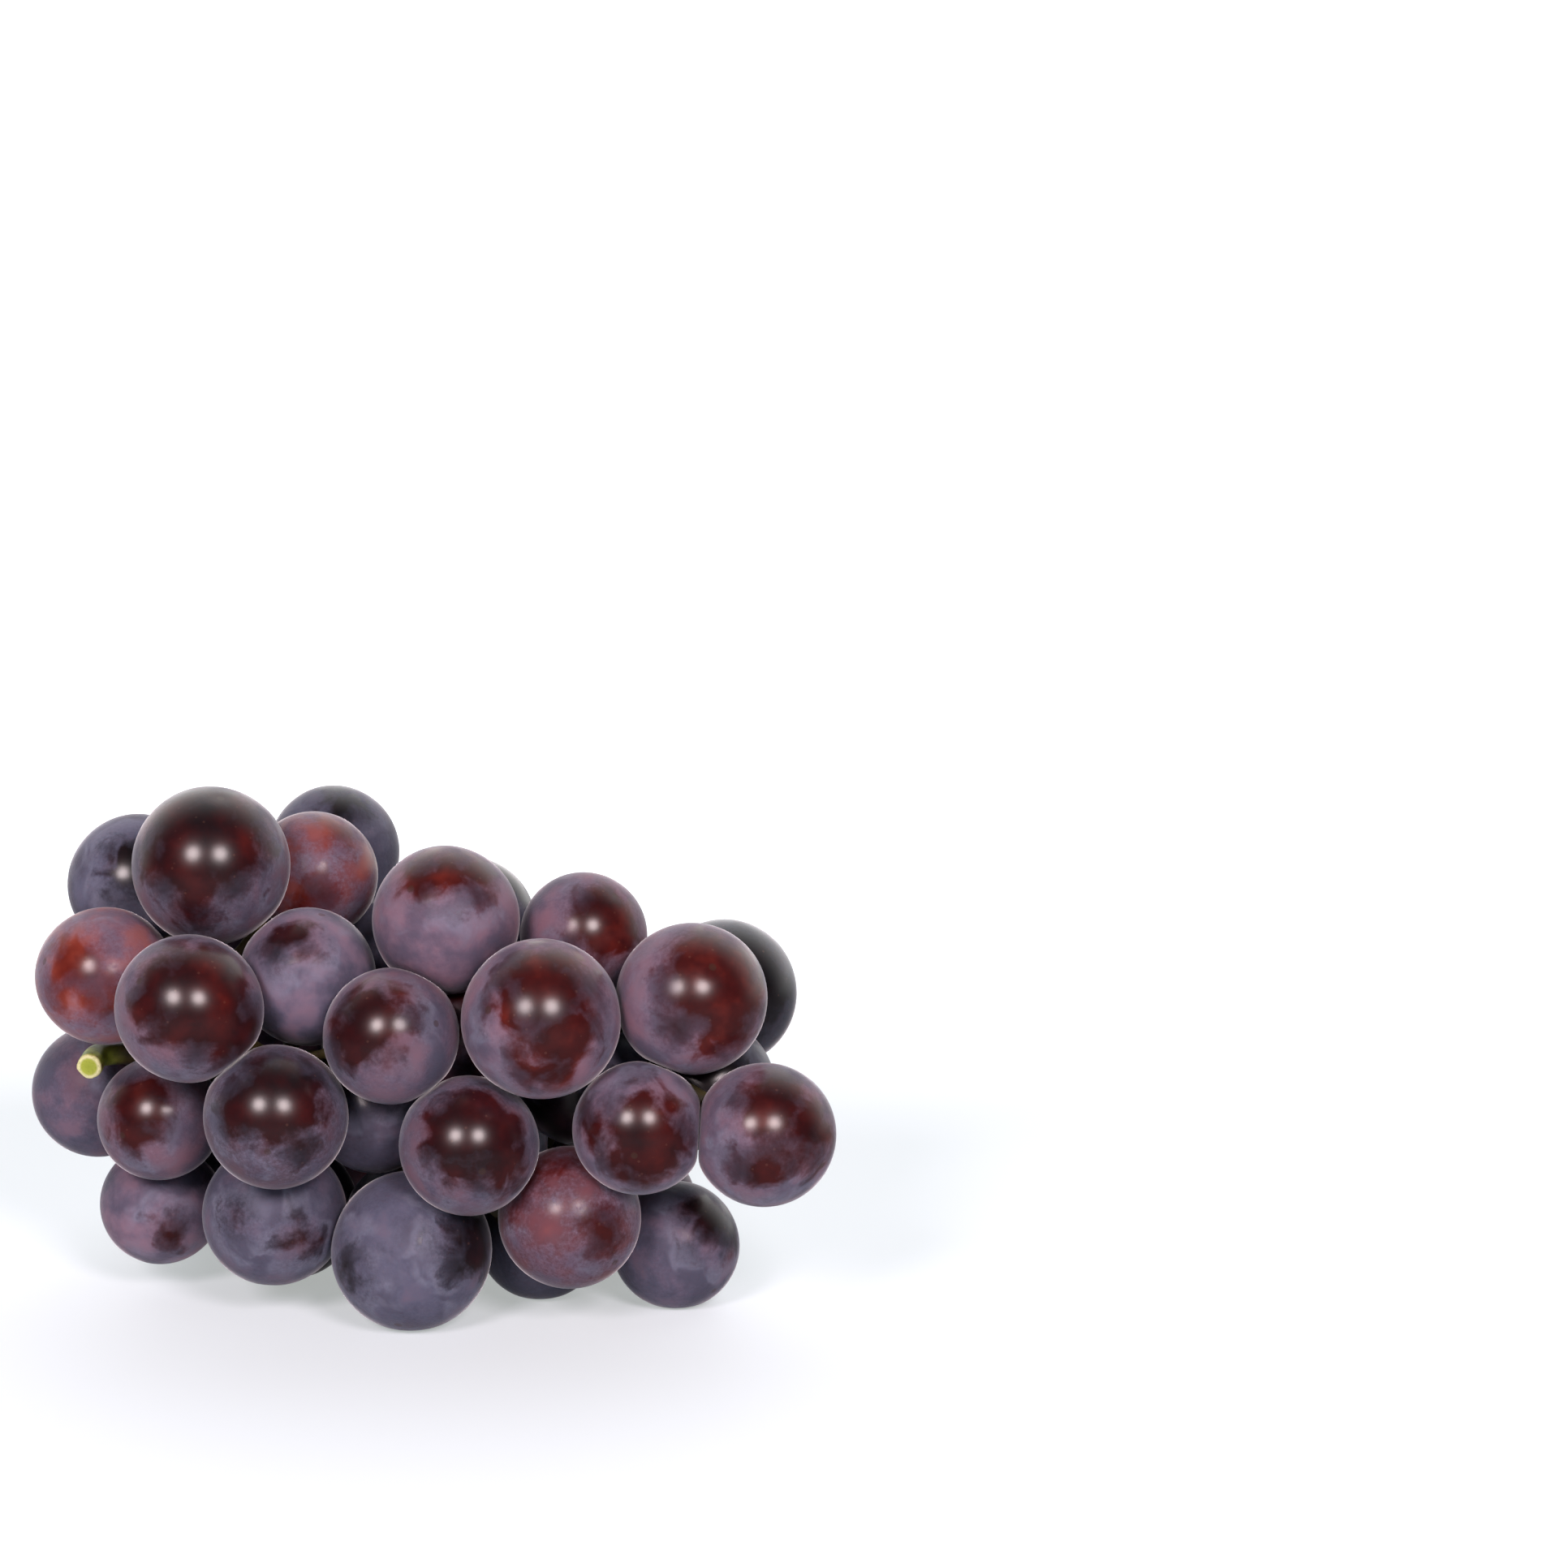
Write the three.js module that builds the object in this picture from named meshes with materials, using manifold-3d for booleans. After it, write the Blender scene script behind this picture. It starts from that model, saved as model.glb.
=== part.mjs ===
// A small bunch of dark table grapes as picked, lying on its side with the cut end to the left and the tip to
// the right. One green stem branches from the cut end to every berry. The berries of one side branch press
// together as a spray, and each spray is one solid.
// Millimetres, +Z up, +X to the right and +Y away from whoever looks at the near side. The origin is on the
// surface that the bunch lies on, below the middle of its bounding box.

import * as THREE from 'three';
import { mergeVertices } from 'three/addons/utils/BufferGeometryUtils.js';
import Module from 'manifold-3d';

const wasm = await Module();
wasm.setup();

// How the berries lie together.
const PRESS = 1.2; // how deep two touching berries press into each other
const CLEARANCE = 0.35; // between two sprays, and round the stem
const FOOT_SINK = 0.6; // how far a berry's underside flattens on the surface
const CORE = 13; // no berry's centre is drawn nearer than this to the bunch's axis
const FARTHEST = 28; // how far behind the middle plane a berry's centre may lie
const FAR_LEFT = -34; // how far to the left one on the far side may lie, where the near side doesn't hide it
const FAR_RIGHT = 33;

// The eye that sees the near side: it looks along +Y and down a little. PICTURE_X and PICTURE_Z are where its
// line of sight meets the middle plane, and PICTURE_UP is how high above the foot of the bunch that shows.
const EYE_DISTANCE = 620;
const EYE_TILT = THREE.MathUtils.degToRad(12);
const PICTURE_X = 47.9;
const PICTURE_Z = 69.4;
const PICTURE_UP = 74.3;

// The berries of the near side. across and up say where each one's middle shows, from the bunch's middle and
// foot; depth is how far behind the middle plane it lies, and width is how wide it shows.
const NEAR_BERRIES = [
  { across: -29.6, up: 63.3, depth: -12, width: 21.6 },
  { across: -39.7, up: 60.8, depth: 3, width: 19.1 },
  { across: -44.1, up: 48.3, depth: -12, width: 18.7 },
  { across: -32.8, up: 43.8, depth: -24, width: 20.2 },
  { across: -16.8, up: 48.2, depth: -12, width: 18.7 },
  { across: -15.8, up: 62.0, depth: 0, width: 17.4 },
  { across: -13.1, up: 65.2, depth: 18, width: 17.8 },
  { across: 2.1, up: 55.8, depth: -13, width: 20.1 },
  { across: 20.8, up: 53.9, depth: -10, width: 17.4 },
  { across: -5.3, up: 40.2, depth: -26, width: 18.6 },
  { across: 14.9, up: 42.4, depth: -27, width: 22.0 },
  { across: 35.4, up: 45.2, depth: -22, width: 20.6 },
  { across: 39.8, up: 45.8, depth: -2, width: 20.0 },
  { across: 45.0, up: 26.8, depth: -18, width: 19.4 },
  { across: 28.3, up: 27.5, depth: -30, width: 18.4 },
  { across: 33.3, up: 11.8, depth: -14, width: 17.4 },
  { across: 18.9, up: 15.6, depth: -24, width: 19.4 },
  { across: 14.7, up: 12.2, depth: -10, width: 17.0 },
  { across: -45.0, up: 32.8, depth: 2, width: 18.0 },
  { across: -36.7, up: 29.0, depth: -11, width: 17.0 },
  { across: -21.0, up: 29.3, depth: -27, width: 19.8 },
  { across: -36.5, up: 17.5, depth: -4, width: 16.6 },
  { across: -21.1, up: 16.0, depth: -14, width: 19.4 },
  { across: -2.6, up: 11.0, depth: -22, width: 21.8 },
  { across: -7.6, up: 30.0, depth: -12, width: 17.0 },
  { across: 5.2, up: 25.3, depth: -30, width: 19.2 },
  { across: 38.0, up: 33.5, depth: -2, width: 17.6 },
];

// The far side is filled by chance, in two shells round the bunch's axis, which narrow towards the tip.
const AXIS = new THREE.Line3(new THREE.Vector3(-43, 1, 38), new THREE.Vector3(40, 1, 27));
const SHELLS = [1, 0.6]; // how far out each shell lies, as a share of the outer one
const SHELL_WIDE = 26;
const SHELL_NARROW = 19;
const SHELL_FLATNESS = 0.92; // how high a shell is, as a share of how deep it is
const FAR_SEED = 20;
const TRIES = 600; // places tried in each shell
const TAKEN_SHARE = 0.8; // a place is taken if a berry lies nearer than this share of touching
const FAR_WIDTH = 18.8; // of a berry on the far side, give or take half of FAR_WIDTH_SPREAD
const FAR_WIDTH_SPREAD = 2.6;

// How the berries settle.
const SETTLE_ROUNDS = 900;
const DRAW_REACH = 4; // berries nearer to each other than this draw together
const DRAW_SHARE = 0.04; // by this share of the gap in each round
const BOND_SHARE = 1; // the same for two berries that hold a spray together
const INWARD = 0.01; // how far a berry is drawn towards the axis in each round
const WEIGHT = 0.05; // how far a berry of the far side sinks in each round
const KEEP_PLACE = 0.7; // the share by which a seen berry goes back to where it shows in each round
const KEEP_DEPTH = 0.03; // the same along the sight line

// The side branches leave the main stem in turn, two turns in every five.
const SPRAY_COUNT = 8;
const SPRAY_TURN = THREE.MathUtils.degToRad(144);
const SPRAY_REACH = 20; // how far from the axis the first berry of a spray is looked for
const SIZE_WEIGHT = 4; // a spray gets the next berry if it is the nearer by this much for each one it has more

// The stem. The main stem's first point is the middle of its cut face. It and the next one stay where they are,
// and the others are bent clear of the berries.
const MAIN_STEM = [
  [-45.3, -14.5, 33.7],
  [-44.2, -9, 33.9],
  [-36, 0, 37],
  [-18, 2, 34.5],
  [8, 0, 32],
  [29, 1, 29],
].map((point) => new THREE.Vector3(...point));
const MAIN_RADII = [1.75, 1.6, 1.5, 1.4, 1.2, 0.9];
const BRANCH_RADII = [1.2, 1.0, 0.95];
const STALK_RADII = [0.75, 0.7, 0.75, 1.5]; // the last is the swelling that holds the berry
const MAIN_STEPS = 60; // steps along the main stem, at whose ends a side branch may leave it
const BRANCH_SHARE = 0.4; // how far a side branch reaches from the main stem to the middle of its spray
const STEM_SIDES = 6;
const STALK_SIDES = 5;
const BEND_POINTS = 2; // between the two ends of a branch or stalk
const BEND_ROUNDS = 60;
const BEND_SHARE = 0.5; // how far a point goes to the middle of its neighbours in each round
const FORK_RADIUS = 1.9; // of the swelling where stalks part

const FORK_DETAIL = 1; // of a fork's geodesic faces
const SKIN_DETAIL = 2; // of a berry's geodesic faces

// The surface that the bunch lies on, wider than the bunch and thicker than any berry sinks.
const SURFACE_WIDTH = 200;
const SURFACE_THICKNESS = 20;

/** A random draw that repeats: each call gives the next number from 0 to 1. */
function makeDraw(seed) {
  const factor = 7 ** 5;
  const end = 2 ** 31 - 1;
  let state = seed;
  return () => {
    state = (state * factor) % end;
    return state / end;
  };
}

/** The berry that shows at a place in the view, on the sight line of that place. */
function seenBerry({ across, up, depth, width }) {
  const eye = new THREE.Vector3(
    PICTURE_X,
    -EYE_DISTANCE * Math.cos(EYE_TILT),
    PICTURE_Z + EYE_DISTANCE * Math.sin(EYE_TILT),
  );
  const above = up - PICTURE_UP;
  const line = new THREE.Vector3(
    across - PICTURE_X,
    EYE_DISTANCE * Math.cos(EYE_TILT) + above * Math.sin(EYE_TILT),
    -EYE_DISTANCE * Math.sin(EYE_TILT) + above * Math.cos(EYE_TILT),
  );
  const share = (depth - eye.y) / line.y;
  const centre = eye.addScaledVector(line, share);
  return { centre, home: centre.clone(), radius: (width / 2) * share, sight: line.normalize() };
}

/** The point of the axis nearest to a given point. */
function onAxis(point) {
  return AXIS.closestPointToPoint(point, true, new THREE.Vector3());
}

/** A point round the axis: along is from 0 at the cut end to 1 at the tip, angle is 0 at the top. */
function roundAxis(along, angle, reach) {
  const point = AXIS.at(along, new THREE.Vector3());
  point.y += reach * Math.sin(angle);
  point.z += reach * Math.cos(angle) * SHELL_FLATNESS;
  return point;
}

/** The berries of the far side: each place tried that no berry has taken yet gets one. */
function farBerries(near) {
  const draw = makeDraw(FAR_SEED);
  const far = [];
  for (let attempt = 0; attempt < TRIES * SHELLS.length; attempt += 1) {
    const shell = SHELLS[Math.floor(attempt / TRIES)];
    const radius = (FAR_WIDTH + FAR_WIDTH_SPREAD * (draw() - 0.5)) / 2;
    const along = draw();
    const reach = shell * (SHELL_WIDE + (SHELL_NARROW - SHELL_WIDE) * along);
    const centre = roundAxis(along, 2 * Math.PI * draw(), reach);
    centre.z = Math.max(centre.z, radius - FOOT_SINK);
    const taken = [...near, ...far].some(
      (other) => other.centre.distanceTo(centre) < TAKEN_SHARE * (other.radius + radius),
    );
    if (!taken) far.push({ centre, radius });
  }
  return far;
}

/** How deep two berries press into each other. */
function press(a, b) {
  return a.radius + b.radius - a.centre.distanceTo(b.centre);
}

/** Moves two berries apart, or together by a share of what they lack, until they press as they should. */
function adjust(a, b, drawShare) {
  const excess = press(a, b) - PRESS;
  const push = (excess / 2) * (excess > 0 ? 1 : drawShare);
  const line = b.centre.clone().sub(a.centre).normalize();
  a.centre.addScaledVector(line, -push);
  b.centre.addScaledVector(line, push);
}

/** Settles the berries: none lies in another, neighbours draw together, and the near side keeps its look. */
function settle(berries, bonds) {
  for (let round = 0; round < SETTLE_ROUNDS; round += 1) {
    for (const [a, b] of bonds) adjust(a, b, BOND_SHARE);
    for (let i = 0; i < berries.length; i += 1) {
      for (let j = i + 1; j < berries.length; j += 1) {
        const gap = -press(berries[i], berries[j]);
        if (gap < DRAW_REACH) adjust(berries[i], berries[j], DRAW_SHARE);
      }
    }
    for (const berry of berries) {
      const inward = onAxis(berry.centre).sub(berry.centre);
      const pull = Math.min(INWARD, inward.length() - CORE);
      berry.centre.addScaledVector(inward.normalize(), pull);
      if (berry.sight) {
        const off = berry.centre.clone().sub(berry.home);
        const deeper = off.dot(berry.sight);
        off.addScaledVector(berry.sight, -deeper);
        berry.centre.addScaledVector(off, -KEEP_PLACE).addScaledVector(berry.sight, -KEEP_DEPTH * deeper);
      } else {
        berry.centre.z -= WEIGHT;
        berry.centre.x = THREE.MathUtils.clamp(berry.centre.x, FAR_LEFT, FAR_RIGHT);
      }
      berry.centre.z = Math.max(berry.centre.z, berry.radius - FOOT_SINK);
      berry.centre.y = Math.min(berry.centre.y, FARTHEST);
    }
  }
}

/** The item with the lowest score. */
function lowest(items, score) {
  return items.reduce((best, item) => (best && score(best) <= score(item) ? best : item), undefined);
}

/** Whether two berries can be brought to press: two that are seen keep the distance at which they show. */
function canPress(a, b) {
  if (-press(a, b) > DRAW_REACH) return false;
  if (!a.sight || !b.sight) return true;
  const line = b.centre.clone().sub(a.centre);
  return line.addScaledVector(a.sight, -line.dot(a.sight)).length() < a.radius + b.radius - PRESS;
}

/** Shares the berries out among the side branches. Each spray grows from berry to berry, the smallest first. */
function shareOut(berries) {
  const sprays = Array.from({ length: SPRAY_COUNT }, (_, i) => {
    const place = roundAxis((i + 0.5) / SPRAY_COUNT, i * SPRAY_TURN, SPRAY_REACH);
    return { number: i, place, members: [], bonds: [] };
  });
  const join = (spray, berry) => {
    const held = spray.members.filter((member) => canPress(member, berry));
    if (held.length) spray.bonds.push([lowest(held, (member) => -press(member, berry)), berry]);
    spray.members.push(berry);
    berry.spray = spray.number;
  };
  for (const spray of sprays) {
    const free = berries.filter((berry) => berry.spray === undefined);
    join(spray, lowest(free, (berry) => berry.centre.distanceTo(spray.place)));
  }
  for (;;) {
    const steps = sprays.flatMap((spray) =>
      berries
        .filter((berry) => berry.spray === undefined)
        .filter((berry) => spray.members.some((member) => canPress(member, berry)))
        .map((berry) => ({ spray, berry })),
    );
    if (!steps.length) return sprays;
    const size = ({ spray }) => SIZE_WEIGHT * spray.members.length;
    const way = ({ spray, berry }) => spray.place.distanceTo(berry.centre);
    const { spray, berry } = lowest(steps, (step) => size(step) + way(step));
    join(spray, berry);
  }
}

/** Pushes a point out of every berry but its own, to a given distance from the skin. */
function pushOut(point, berries, distance, own) {
  for (const berry of berries) {
    const away = point.clone().sub(berry.centre);
    const short = berry.radius + distance - away.length();
    if (short > 0 && berry !== own) point.addScaledVector(away.normalize(), short);
  }
}

/** Bends a line of points clear of the berries. With an own berry, its last point slides on that berry's skin. */
function bendClear(points, berries, girth, own) {
  for (let round = 0; round < BEND_ROUNDS; round += 1) {
    for (let i = 1; i < points.length - 1; i += 1) {
      const middle = points[i - 1].clone().add(points[i + 1]).multiplyScalar(0.5);
      points[i].lerp(middle, BEND_SHARE);
      pushOut(points[i], berries, girth + CLEARANCE);
    }
    if (!own) continue;
    const end = points[points.length - 1];
    pushOut(end, berries, girth + CLEARANCE, own);
    end.sub(own.centre).setLength(own.radius + CLEARANCE).add(own.centre);
  }
  return points;
}

/** The points of a straight line from one point to another. */
function between(from, to) {
  return Array.from({ length: BEND_POINTS + 2 }, (_, i) => from.clone().lerp(to, i / (BEND_POINTS + 1)));
}

/** A tube along a smooth line through the points, with radii spread evenly over its length. */
function taperedTube(points, radii, sides, extra = 0) {
  const steps = points.length - 1;
  const curve = new THREE.CatmullRomCurve3(points);
  const { normals, binormals } = curve.computeFrenetFrames(steps);
  const tube = new THREE.CylinderGeometry(1, 1, 1, sides, steps);
  const position = tube.attributes.position;
  for (let i = 0; i < position.count; i += 1) {
    const share = position.getY(i) + 0.5;
    const step = Math.round(share * steps);
    const place = share * (radii.length - 1);
    const low = Math.min(Math.floor(place), radii.length - 2);
    const radius = THREE.MathUtils.lerp(radii[low], radii[low + 1], place - low) + extra;
    const point = curve.getPoint(share);
    point.addScaledVector(binormals[step], position.getX(i) * radius);
    point.addScaledVector(normals[step], position.getZ(i) * radius);
    position.setXYZ(i, ...point);
  }
  return tube;
}

/** The closed solid of a geometry. */
function solid(geometry) {
  const bare = geometry.clone();
  bare.deleteAttribute('normal');
  bare.deleteAttribute('uv');
  const merged = mergeVertices(bare);
  const vertProperties = merged.attributes.position.array;
  const triVerts = Uint32Array.from(merged.index.array);
  return new wasm.Manifold(new wasm.Mesh({ numProp: 3, vertProperties, triVerts }));
}

/** A small swelling of the stem. */
function forkSolid(centre, radius) {
  return solid(new THREE.IcosahedronGeometry(radius, FORK_DETAIL).translate(...centre));
}

/** A named mesh of a solid. */
function asMesh(name, body, material) {
  const { vertProperties, triVerts } = body.getMesh();
  const geometry = new THREE.BufferGeometry();
  geometry.setAttribute('position', new THREE.BufferAttribute(vertProperties, 3));
  geometry.setIndex(new THREE.BufferAttribute(triVerts, 1));
  geometry.computeVertexNormals();
  const mesh = new THREE.Mesh(geometry, material);
  mesh.name = name;
  return mesh;
}

/** A berry, flat where berries of other sprays press on it. */
function berrySolid(berry, berries) {
  const skin = new THREE.IcosahedronGeometry(berry.radius, SKIN_DETAIL);
  const position = skin.attributes.position;
  const pressing = berries.filter(
    (other) => other.spray !== berry.spray && press(berry, other) > -CLEARANCE,
  );
  const point = new THREE.Vector3();
  for (const other of pressing) {
    const line = other.centre.clone().sub(berry.centre);
    const length = line.length();
    const flat = (length + (berry.radius ** 2 - other.radius ** 2) / length - CLEARANCE) / 2;
    line.normalize();
    for (let i = 0; i < position.count; i += 1) {
      point.fromBufferAttribute(position, i);
      const over = point.dot(line) - flat;
      if (over > 0) position.setXYZ(i, ...point.addScaledVector(line, -over));
    }
  }
  skin.translate(...berry.centre);
  return solid(skin);
}

/** The stem, each of its tubes wider by extra. */
function stemSolid(sprays, berries, extra = 0) {
  const [cut, ...inside] = MAIN_STEM.map((point) => point.clone());
  const main = [cut, ...bendClear(inside, berries, MAIN_RADII[0])];
  const mainPoints = new THREE.CatmullRomCurve3(main).getPoints(MAIN_STEPS);
  let stem = solid(taperedTube(main, MAIN_RADII, STEM_SIDES, extra));
  for (const { members } of sprays) {
    const middle = new THREE.Vector3();
    for (const berry of members) middle.addScaledVector(berry.centre, 1 / members.length);
    const start = mainPoints.reduce((a, b) => (a.distanceTo(middle) < b.distanceTo(middle) ? a : b));
    const hub = start.clone().lerp(middle, BRANCH_SHARE);
    pushOut(hub, berries, BRANCH_RADII[0] + CLEARANCE);
    const branch = bendClear(between(start, hub), berries, BRANCH_RADII[0]);
    stem = stem.add(solid(taperedTube(branch, BRANCH_RADII, STEM_SIDES, extra)));
    stem = stem.add(forkSolid(hub, FORK_RADIUS + extra));
    for (const berry of members) {
      const end = hub.clone().sub(berry.centre).setLength(berry.radius + CLEARANCE).add(berry.centre);
      const stalk = bendClear(between(hub, end), berries, STALK_RADII[0], berry);
      stem = stem.add(solid(taperedTube(stalk, STALK_RADII, STALK_SIDES, extra)));
    }
  }
  return stem;
}

const near = NEAR_BERRIES.map(seenBerry);
const berries = [...near, ...farBerries(near)];
settle(berries, []);
const sprays = shareOut(berries);
settle(berries, sprays.flatMap((spray) => spray.bonds));

const skinMaterial = new THREE.MeshStandardMaterial({ color: 0x4a3a48, roughness: 0.45, metalness: 0 });
const stemMaterial = new THREE.MeshStandardMaterial({ color: 0x7d7a3a, roughness: 0.75, metalness: 0 });

const surfaceBox = new THREE.BoxGeometry(SURFACE_WIDTH, SURFACE_WIDTH, SURFACE_THICKNESS);
const surface = solid(surfaceBox.translate(0, 0, -SURFACE_THICKNESS / 2));
const stemRoom = stemSolid(sprays, berries, CLEARANCE);

const group = new THREE.Group();
group.add(asMesh('stem', stemSolid(sprays, berries), stemMaterial));
sprays.forEach(({ members }, i) => {
  const solids = members.map((berry) => berrySolid(berry, berries));
  const spray = solids.reduce((a, b) => a.add(b)).subtract(surface).subtract(stemRoom);
  group.add(asMesh(`spray_${i + 1}`, spray, skinMaterial));
});

const box = new THREE.Box3().setFromObject(group);
group.position.set(-(box.min.x + box.max.x) / 2, -(box.min.y + box.max.y) / 2, -box.min.z);

export default group;
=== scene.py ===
"""A small bunch of dark table grapes as picked, lying on a white surface, its green cut stem end to the left.

The berries and the stem are laid out by the rule that gives the solids their places, in the same millimetres
and with the same values. Each piece is then modelled finely in place of the solid that it stands for.
"""

import logging
import math
from dataclasses import dataclass, field
from enum import Enum
from functools import partial
from typing import Callable, Iterable, Optional, Sequence, Union

import bmesh
import bpy
import numpy as np
from mathutils import Matrix, Vector


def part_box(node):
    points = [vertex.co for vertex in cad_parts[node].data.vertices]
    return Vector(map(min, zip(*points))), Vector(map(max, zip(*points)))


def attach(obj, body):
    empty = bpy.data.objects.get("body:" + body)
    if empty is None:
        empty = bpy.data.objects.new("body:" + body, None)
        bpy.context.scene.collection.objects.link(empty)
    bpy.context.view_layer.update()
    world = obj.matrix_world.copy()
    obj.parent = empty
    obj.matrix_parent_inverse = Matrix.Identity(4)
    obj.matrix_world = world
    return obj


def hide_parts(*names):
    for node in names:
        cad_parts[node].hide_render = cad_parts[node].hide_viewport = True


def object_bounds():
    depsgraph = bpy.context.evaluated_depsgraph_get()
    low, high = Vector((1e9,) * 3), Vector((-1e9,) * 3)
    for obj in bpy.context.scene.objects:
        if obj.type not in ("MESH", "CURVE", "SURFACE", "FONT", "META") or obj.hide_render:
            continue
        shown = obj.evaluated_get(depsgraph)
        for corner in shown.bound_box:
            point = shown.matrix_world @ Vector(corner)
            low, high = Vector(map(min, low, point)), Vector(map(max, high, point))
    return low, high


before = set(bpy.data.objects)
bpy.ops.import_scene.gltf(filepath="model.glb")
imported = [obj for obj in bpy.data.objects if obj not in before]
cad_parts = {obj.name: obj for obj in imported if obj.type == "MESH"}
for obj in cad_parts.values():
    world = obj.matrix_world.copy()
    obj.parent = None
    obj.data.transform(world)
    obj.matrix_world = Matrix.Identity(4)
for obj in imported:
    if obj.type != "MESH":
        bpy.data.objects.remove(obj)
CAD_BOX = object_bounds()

log = logging.getLogger("grapes")
MM = 0.001
SOLID_TOLERANCE = 0.8  # how far a spray may lie from its solid before a warning is given, in millimetres

# A well-known pair for a repeating draw.
DRAW_FACTOR = 16807
DRAW_RANGE = 2147483647

Point = list[float]
Ring = list[bmesh.types.BMVert]
Edges = list[bmesh.types.BMEdge]
Adder = Callable[..., bpy.types.Node]
Range = tuple[float, float, float, float]
Stops = tuple[tuple[float, str], ...]


# Small vector sums in double precision.


def plus(a: Sequence[float], b: Sequence[float], share: float = 1.0) -> Point:
    """a with a share of b added."""
    return [a[0] + b[0] * share, a[1] + b[1] * share, a[2] + b[2] * share]


def minus(a: Sequence[float], b: Sequence[float]) -> Point:
    """The way from b to a."""
    return [a[0] - b[0], a[1] - b[1], a[2] - b[2]]


def dot(a: Sequence[float], b: Sequence[float]) -> float:
    """The dot product."""
    return a[0] * b[0] + a[1] * b[1] + a[2] * b[2]


def length(a: Sequence[float]) -> float:
    """The length of a."""
    return math.sqrt(dot(a, a))


def unit(a: Sequence[float]) -> Point:
    """a at length 1."""
    share = 1 / (length(a) or 1)
    return [a[0] * share, a[1] * share, a[2] * share]


def lerp(a: Sequence[float], b: Sequence[float], share: float) -> Point:
    """The point a share of the way from a to b."""
    return plus(a, minus(b, a), share)


# The layout of the bunch, in millimetres.


@dataclass
class Berry:
    """One berry.

    Attributes:
        centre: its middle.
        radius: its radius.
        home: for one of the near side, where it shows.
        sight: for one of the near side, the direction in which the eye sees it.
        spray: the number of its side branch.
        number: its own number.
        stalk: the direction from its middle to its stalk.
    """

    centre: Point
    radius: float
    home: Optional[Point] = None
    sight: Optional[Point] = None
    spray: Optional[int] = None
    number: int = 0
    stalk: Point = field(default_factory=list)

    def press(self, other: "Berry") -> float:
        """How deep this berry and another press into each other."""
        return self.radius + other.radius - length(minus(self.centre, other.centre))


@dataclass
class Spray:
    """One side branch: where it is meant to be, its berries, and the pairs of them that hold it together."""

    number: int
    place: Point
    members: list[Berry] = field(default_factory=list)
    bonds: list[tuple[Berry, Berry]] = field(default_factory=list)


@dataclass(frozen=True)
class Eye:
    """The eye that sees the near side. It looks along +Y and down a little.

    Attributes:
        distance: how far it is from the middle of the picture.
        tilt: how steeply it looks down.
        picture_x: where the middle of the picture lies, to the right of the bunch's.
        picture_z: how high it lies.
        picture_up: how far above the bunch's foot it shows.
    """

    distance: float = 620.0
    tilt: float = math.radians(12)
    picture_x: float = 47.9
    picture_z: float = 69.4
    picture_up: float = 74.3

    def place(self) -> Point:
        """Where the eye is."""
        return [
            self.picture_x,
            -self.distance * math.cos(self.tilt),
            self.picture_z + self.distance * math.sin(self.tilt),
        ]

    def seen(self, across: float, up: float, depth: float, width: float) -> Berry:
        """The berry that shows at a place in the view.

        Args:
            across: how far right of the bunch's middle it shows.
            up: how far above the bunch's foot it shows.
            depth: how far behind the middle plane it lies.
            width: how wide it shows.

        Returns:
            The berry, on the sight line of that place.
        """
        eye = self.place()
        above = up - self.picture_up
        cos, sin = math.cos(self.tilt), math.sin(self.tilt)
        line = [
            across - self.picture_x,
            self.distance * cos + above * sin,
            -self.distance * sin + above * cos,
        ]
        share = (depth - eye[1]) / line[1]
        centre = plus(eye, line, share)
        return Berry(centre, width / 2 * share, home=list(centre), sight=unit(line))


@dataclass(frozen=True)
class Look:
    """How the skin of one berry looks.

    Attributes:
        ripe: from 0, blue-black, to 1, light red.
        wax: how much of the waxy bloom it still has.
        rubs: the places where the bloom is rubbed off, as (right, up, size): how far each lies from the
            middle of the berry as it shows, in radii, and how far it reaches, in degrees.
        cloud: how patchy the bloom is.
    """

    ripe: float
    wax: float
    rubs: tuple[tuple[float, float, float], ...] = ()
    cloud: float = 0.5


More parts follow.
